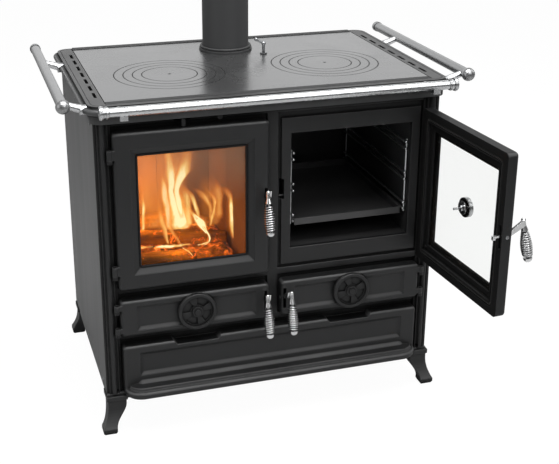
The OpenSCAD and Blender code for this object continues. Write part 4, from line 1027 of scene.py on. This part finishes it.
for k, words in enumerate(("0", "100", "200", "300", "400")):
    angle = math.radians(DIAL_START - DIAL_SWEEP * k / 4)
    text = bpy.data.curves.new(f"dial_figure_{words}", "FONT")
    text.body = words
    text.size = FIGURE_SIZE
    text.align_x = text.align_y = "CENTER"
    text.extrude = 0.00005
    text.materials.append(ink.owner)
    figure = bpy.data.objects.new(f"dial_figure_{words}", text)
    bpy.context.scene.collection.objects.link(figure)
    centre = dial_place(FIGURE_RING * math.cos(angle), FIGURE_RING * math.sin(angle), INK_FRONT)
    figure.matrix_world = Matrix.Translation(centre) @ upright
    figures.append(figure)
for piece in (face, ticks, needle, *figures):
    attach(piece, "oven_door")


# Floor
WHITE = (1, 1, 1, 1)


def stage_shader(name, tone, keep):
    """Plain pale surface that the camera sees nearly white, with a soft shadow kept."""
    g = Graph(name)
    light_path = g.node("ShaderNodeLightPath").outputs
    seen = g.math("MAXIMUM", light_path["Is Camera Ray"], light_path["Is Transmission Ray"])
    matt = g.first("ShaderNodeBsdfDiffuse", Color=(*tone, 1))
    dim = g.first("ShaderNodeBsdfDiffuse", Color=(0.5, 0.5, 0.5, 1))
    white = g.first("ShaderNodeEmission", Color=WHITE, Strength=1.04)
    mirrored = g.blend(light_path["Is Glossy Ray"], matt, dim)
    g.surface(g.blend(g.math("MULTIPLY", seen, 1 - keep), mirrored, white))
    return g.owner


FLOOR_REACH = 6
corners = [(-FLOOR_REACH, -FLOOR_REACH, 0), (FLOOR_REACH, -FLOOR_REACH, 0),
           (FLOOR_REACH, FLOOR_REACH, 0), (-FLOOR_REACH, FLOOR_REACH, 0)]
floor = mesh_object("floor", corners, [(0, 1, 2, 3)], stage_shader("floor", (0.8, 0.8, 0.8), 0.07),
                    smooth=False)


# World: white to the camera, brighter behind the stove than in front for everything else
studio = Graph("studio", world=True)
bpy.context.scene.world = studio.owner
rearward = studio.axes(studio.node("ShaderNodeTexCoord").outputs["Generated"])["Y"]
around = studio.first("ShaderNodeBackground", Strength=studio.spread(rearward, -0.4, 0.9, 0.14, 0.62))
backdrop = studio.first("ShaderNodeBackground", Color=WHITE)
to_camera = studio.node("ShaderNodeLightPath").outputs["Is Camera Ray"]
studio.surface(studio.blend(to_camera, around, backdrop))


# Lights
def area(name, location, target, size, power):
    """A rectangular light aimed at a target; places and sizes in metres, power in watts."""
    data = bpy.data.lights.new(name, "AREA")
    data.shape = "RECTANGLE"
    data.size, data.size_y = size
    data.energy = power
    made = bpy.data.objects.new(name, data)
    bpy.context.scene.collection.objects.link(made)
    made.location = location
    made.rotation_euler = (Vector(target) - Vector(location)).to_track_quat("-Z", "Y").to_euler()
    made.visible_camera = False


area("left_softbox", (-2.6, -0.4, 1.4), (-0.2, 0.1, 0.5), (1.8, 1.8), 8.5)
area("front_softbox", (1.1, -3.0, 2.9), (0.1, 0, 0.5), (2.6, 1.6), 37)
area("top_softbox", (0.0, -0.5, 3.0), (0, 0.0, 0.6), (2.6, 1.8), 84)
area("rear_softbox", (0.3, 3.4, 1.9), (0, 0.2, 0.9), (4.4, 2.0), 16)
area("right_softbox", (2.6, 0.2, 2.3), (0.0, 0.3, 1.0), (0.9, 1.8), 13)

# The fire's own light: name, place in millimetres, power, radius
FIRE_COLOUR = (1.0, 0.47, 0.15)
FIRE_LIGHTS = (("fire_light", (-300, 250, 500), 1.8, 0.05),
               ("fire_light_high", (-290, 270, 620), 1.3, 0.06),
               ("ember_light", (-200, 110, 450), 0.5, 0.04))
for name, at, power, radius in FIRE_LIGHTS:
    data = bpy.data.lights.new(name, "POINT")
    data.energy = power
    data.color = FIRE_COLOUR
    data.shadow_soft_size = radius
    made = bpy.data.objects.new(name, data)
    made.visible_glossy = False
    bpy.context.scene.collection.objects.link(made)
    made.location = point(*at)
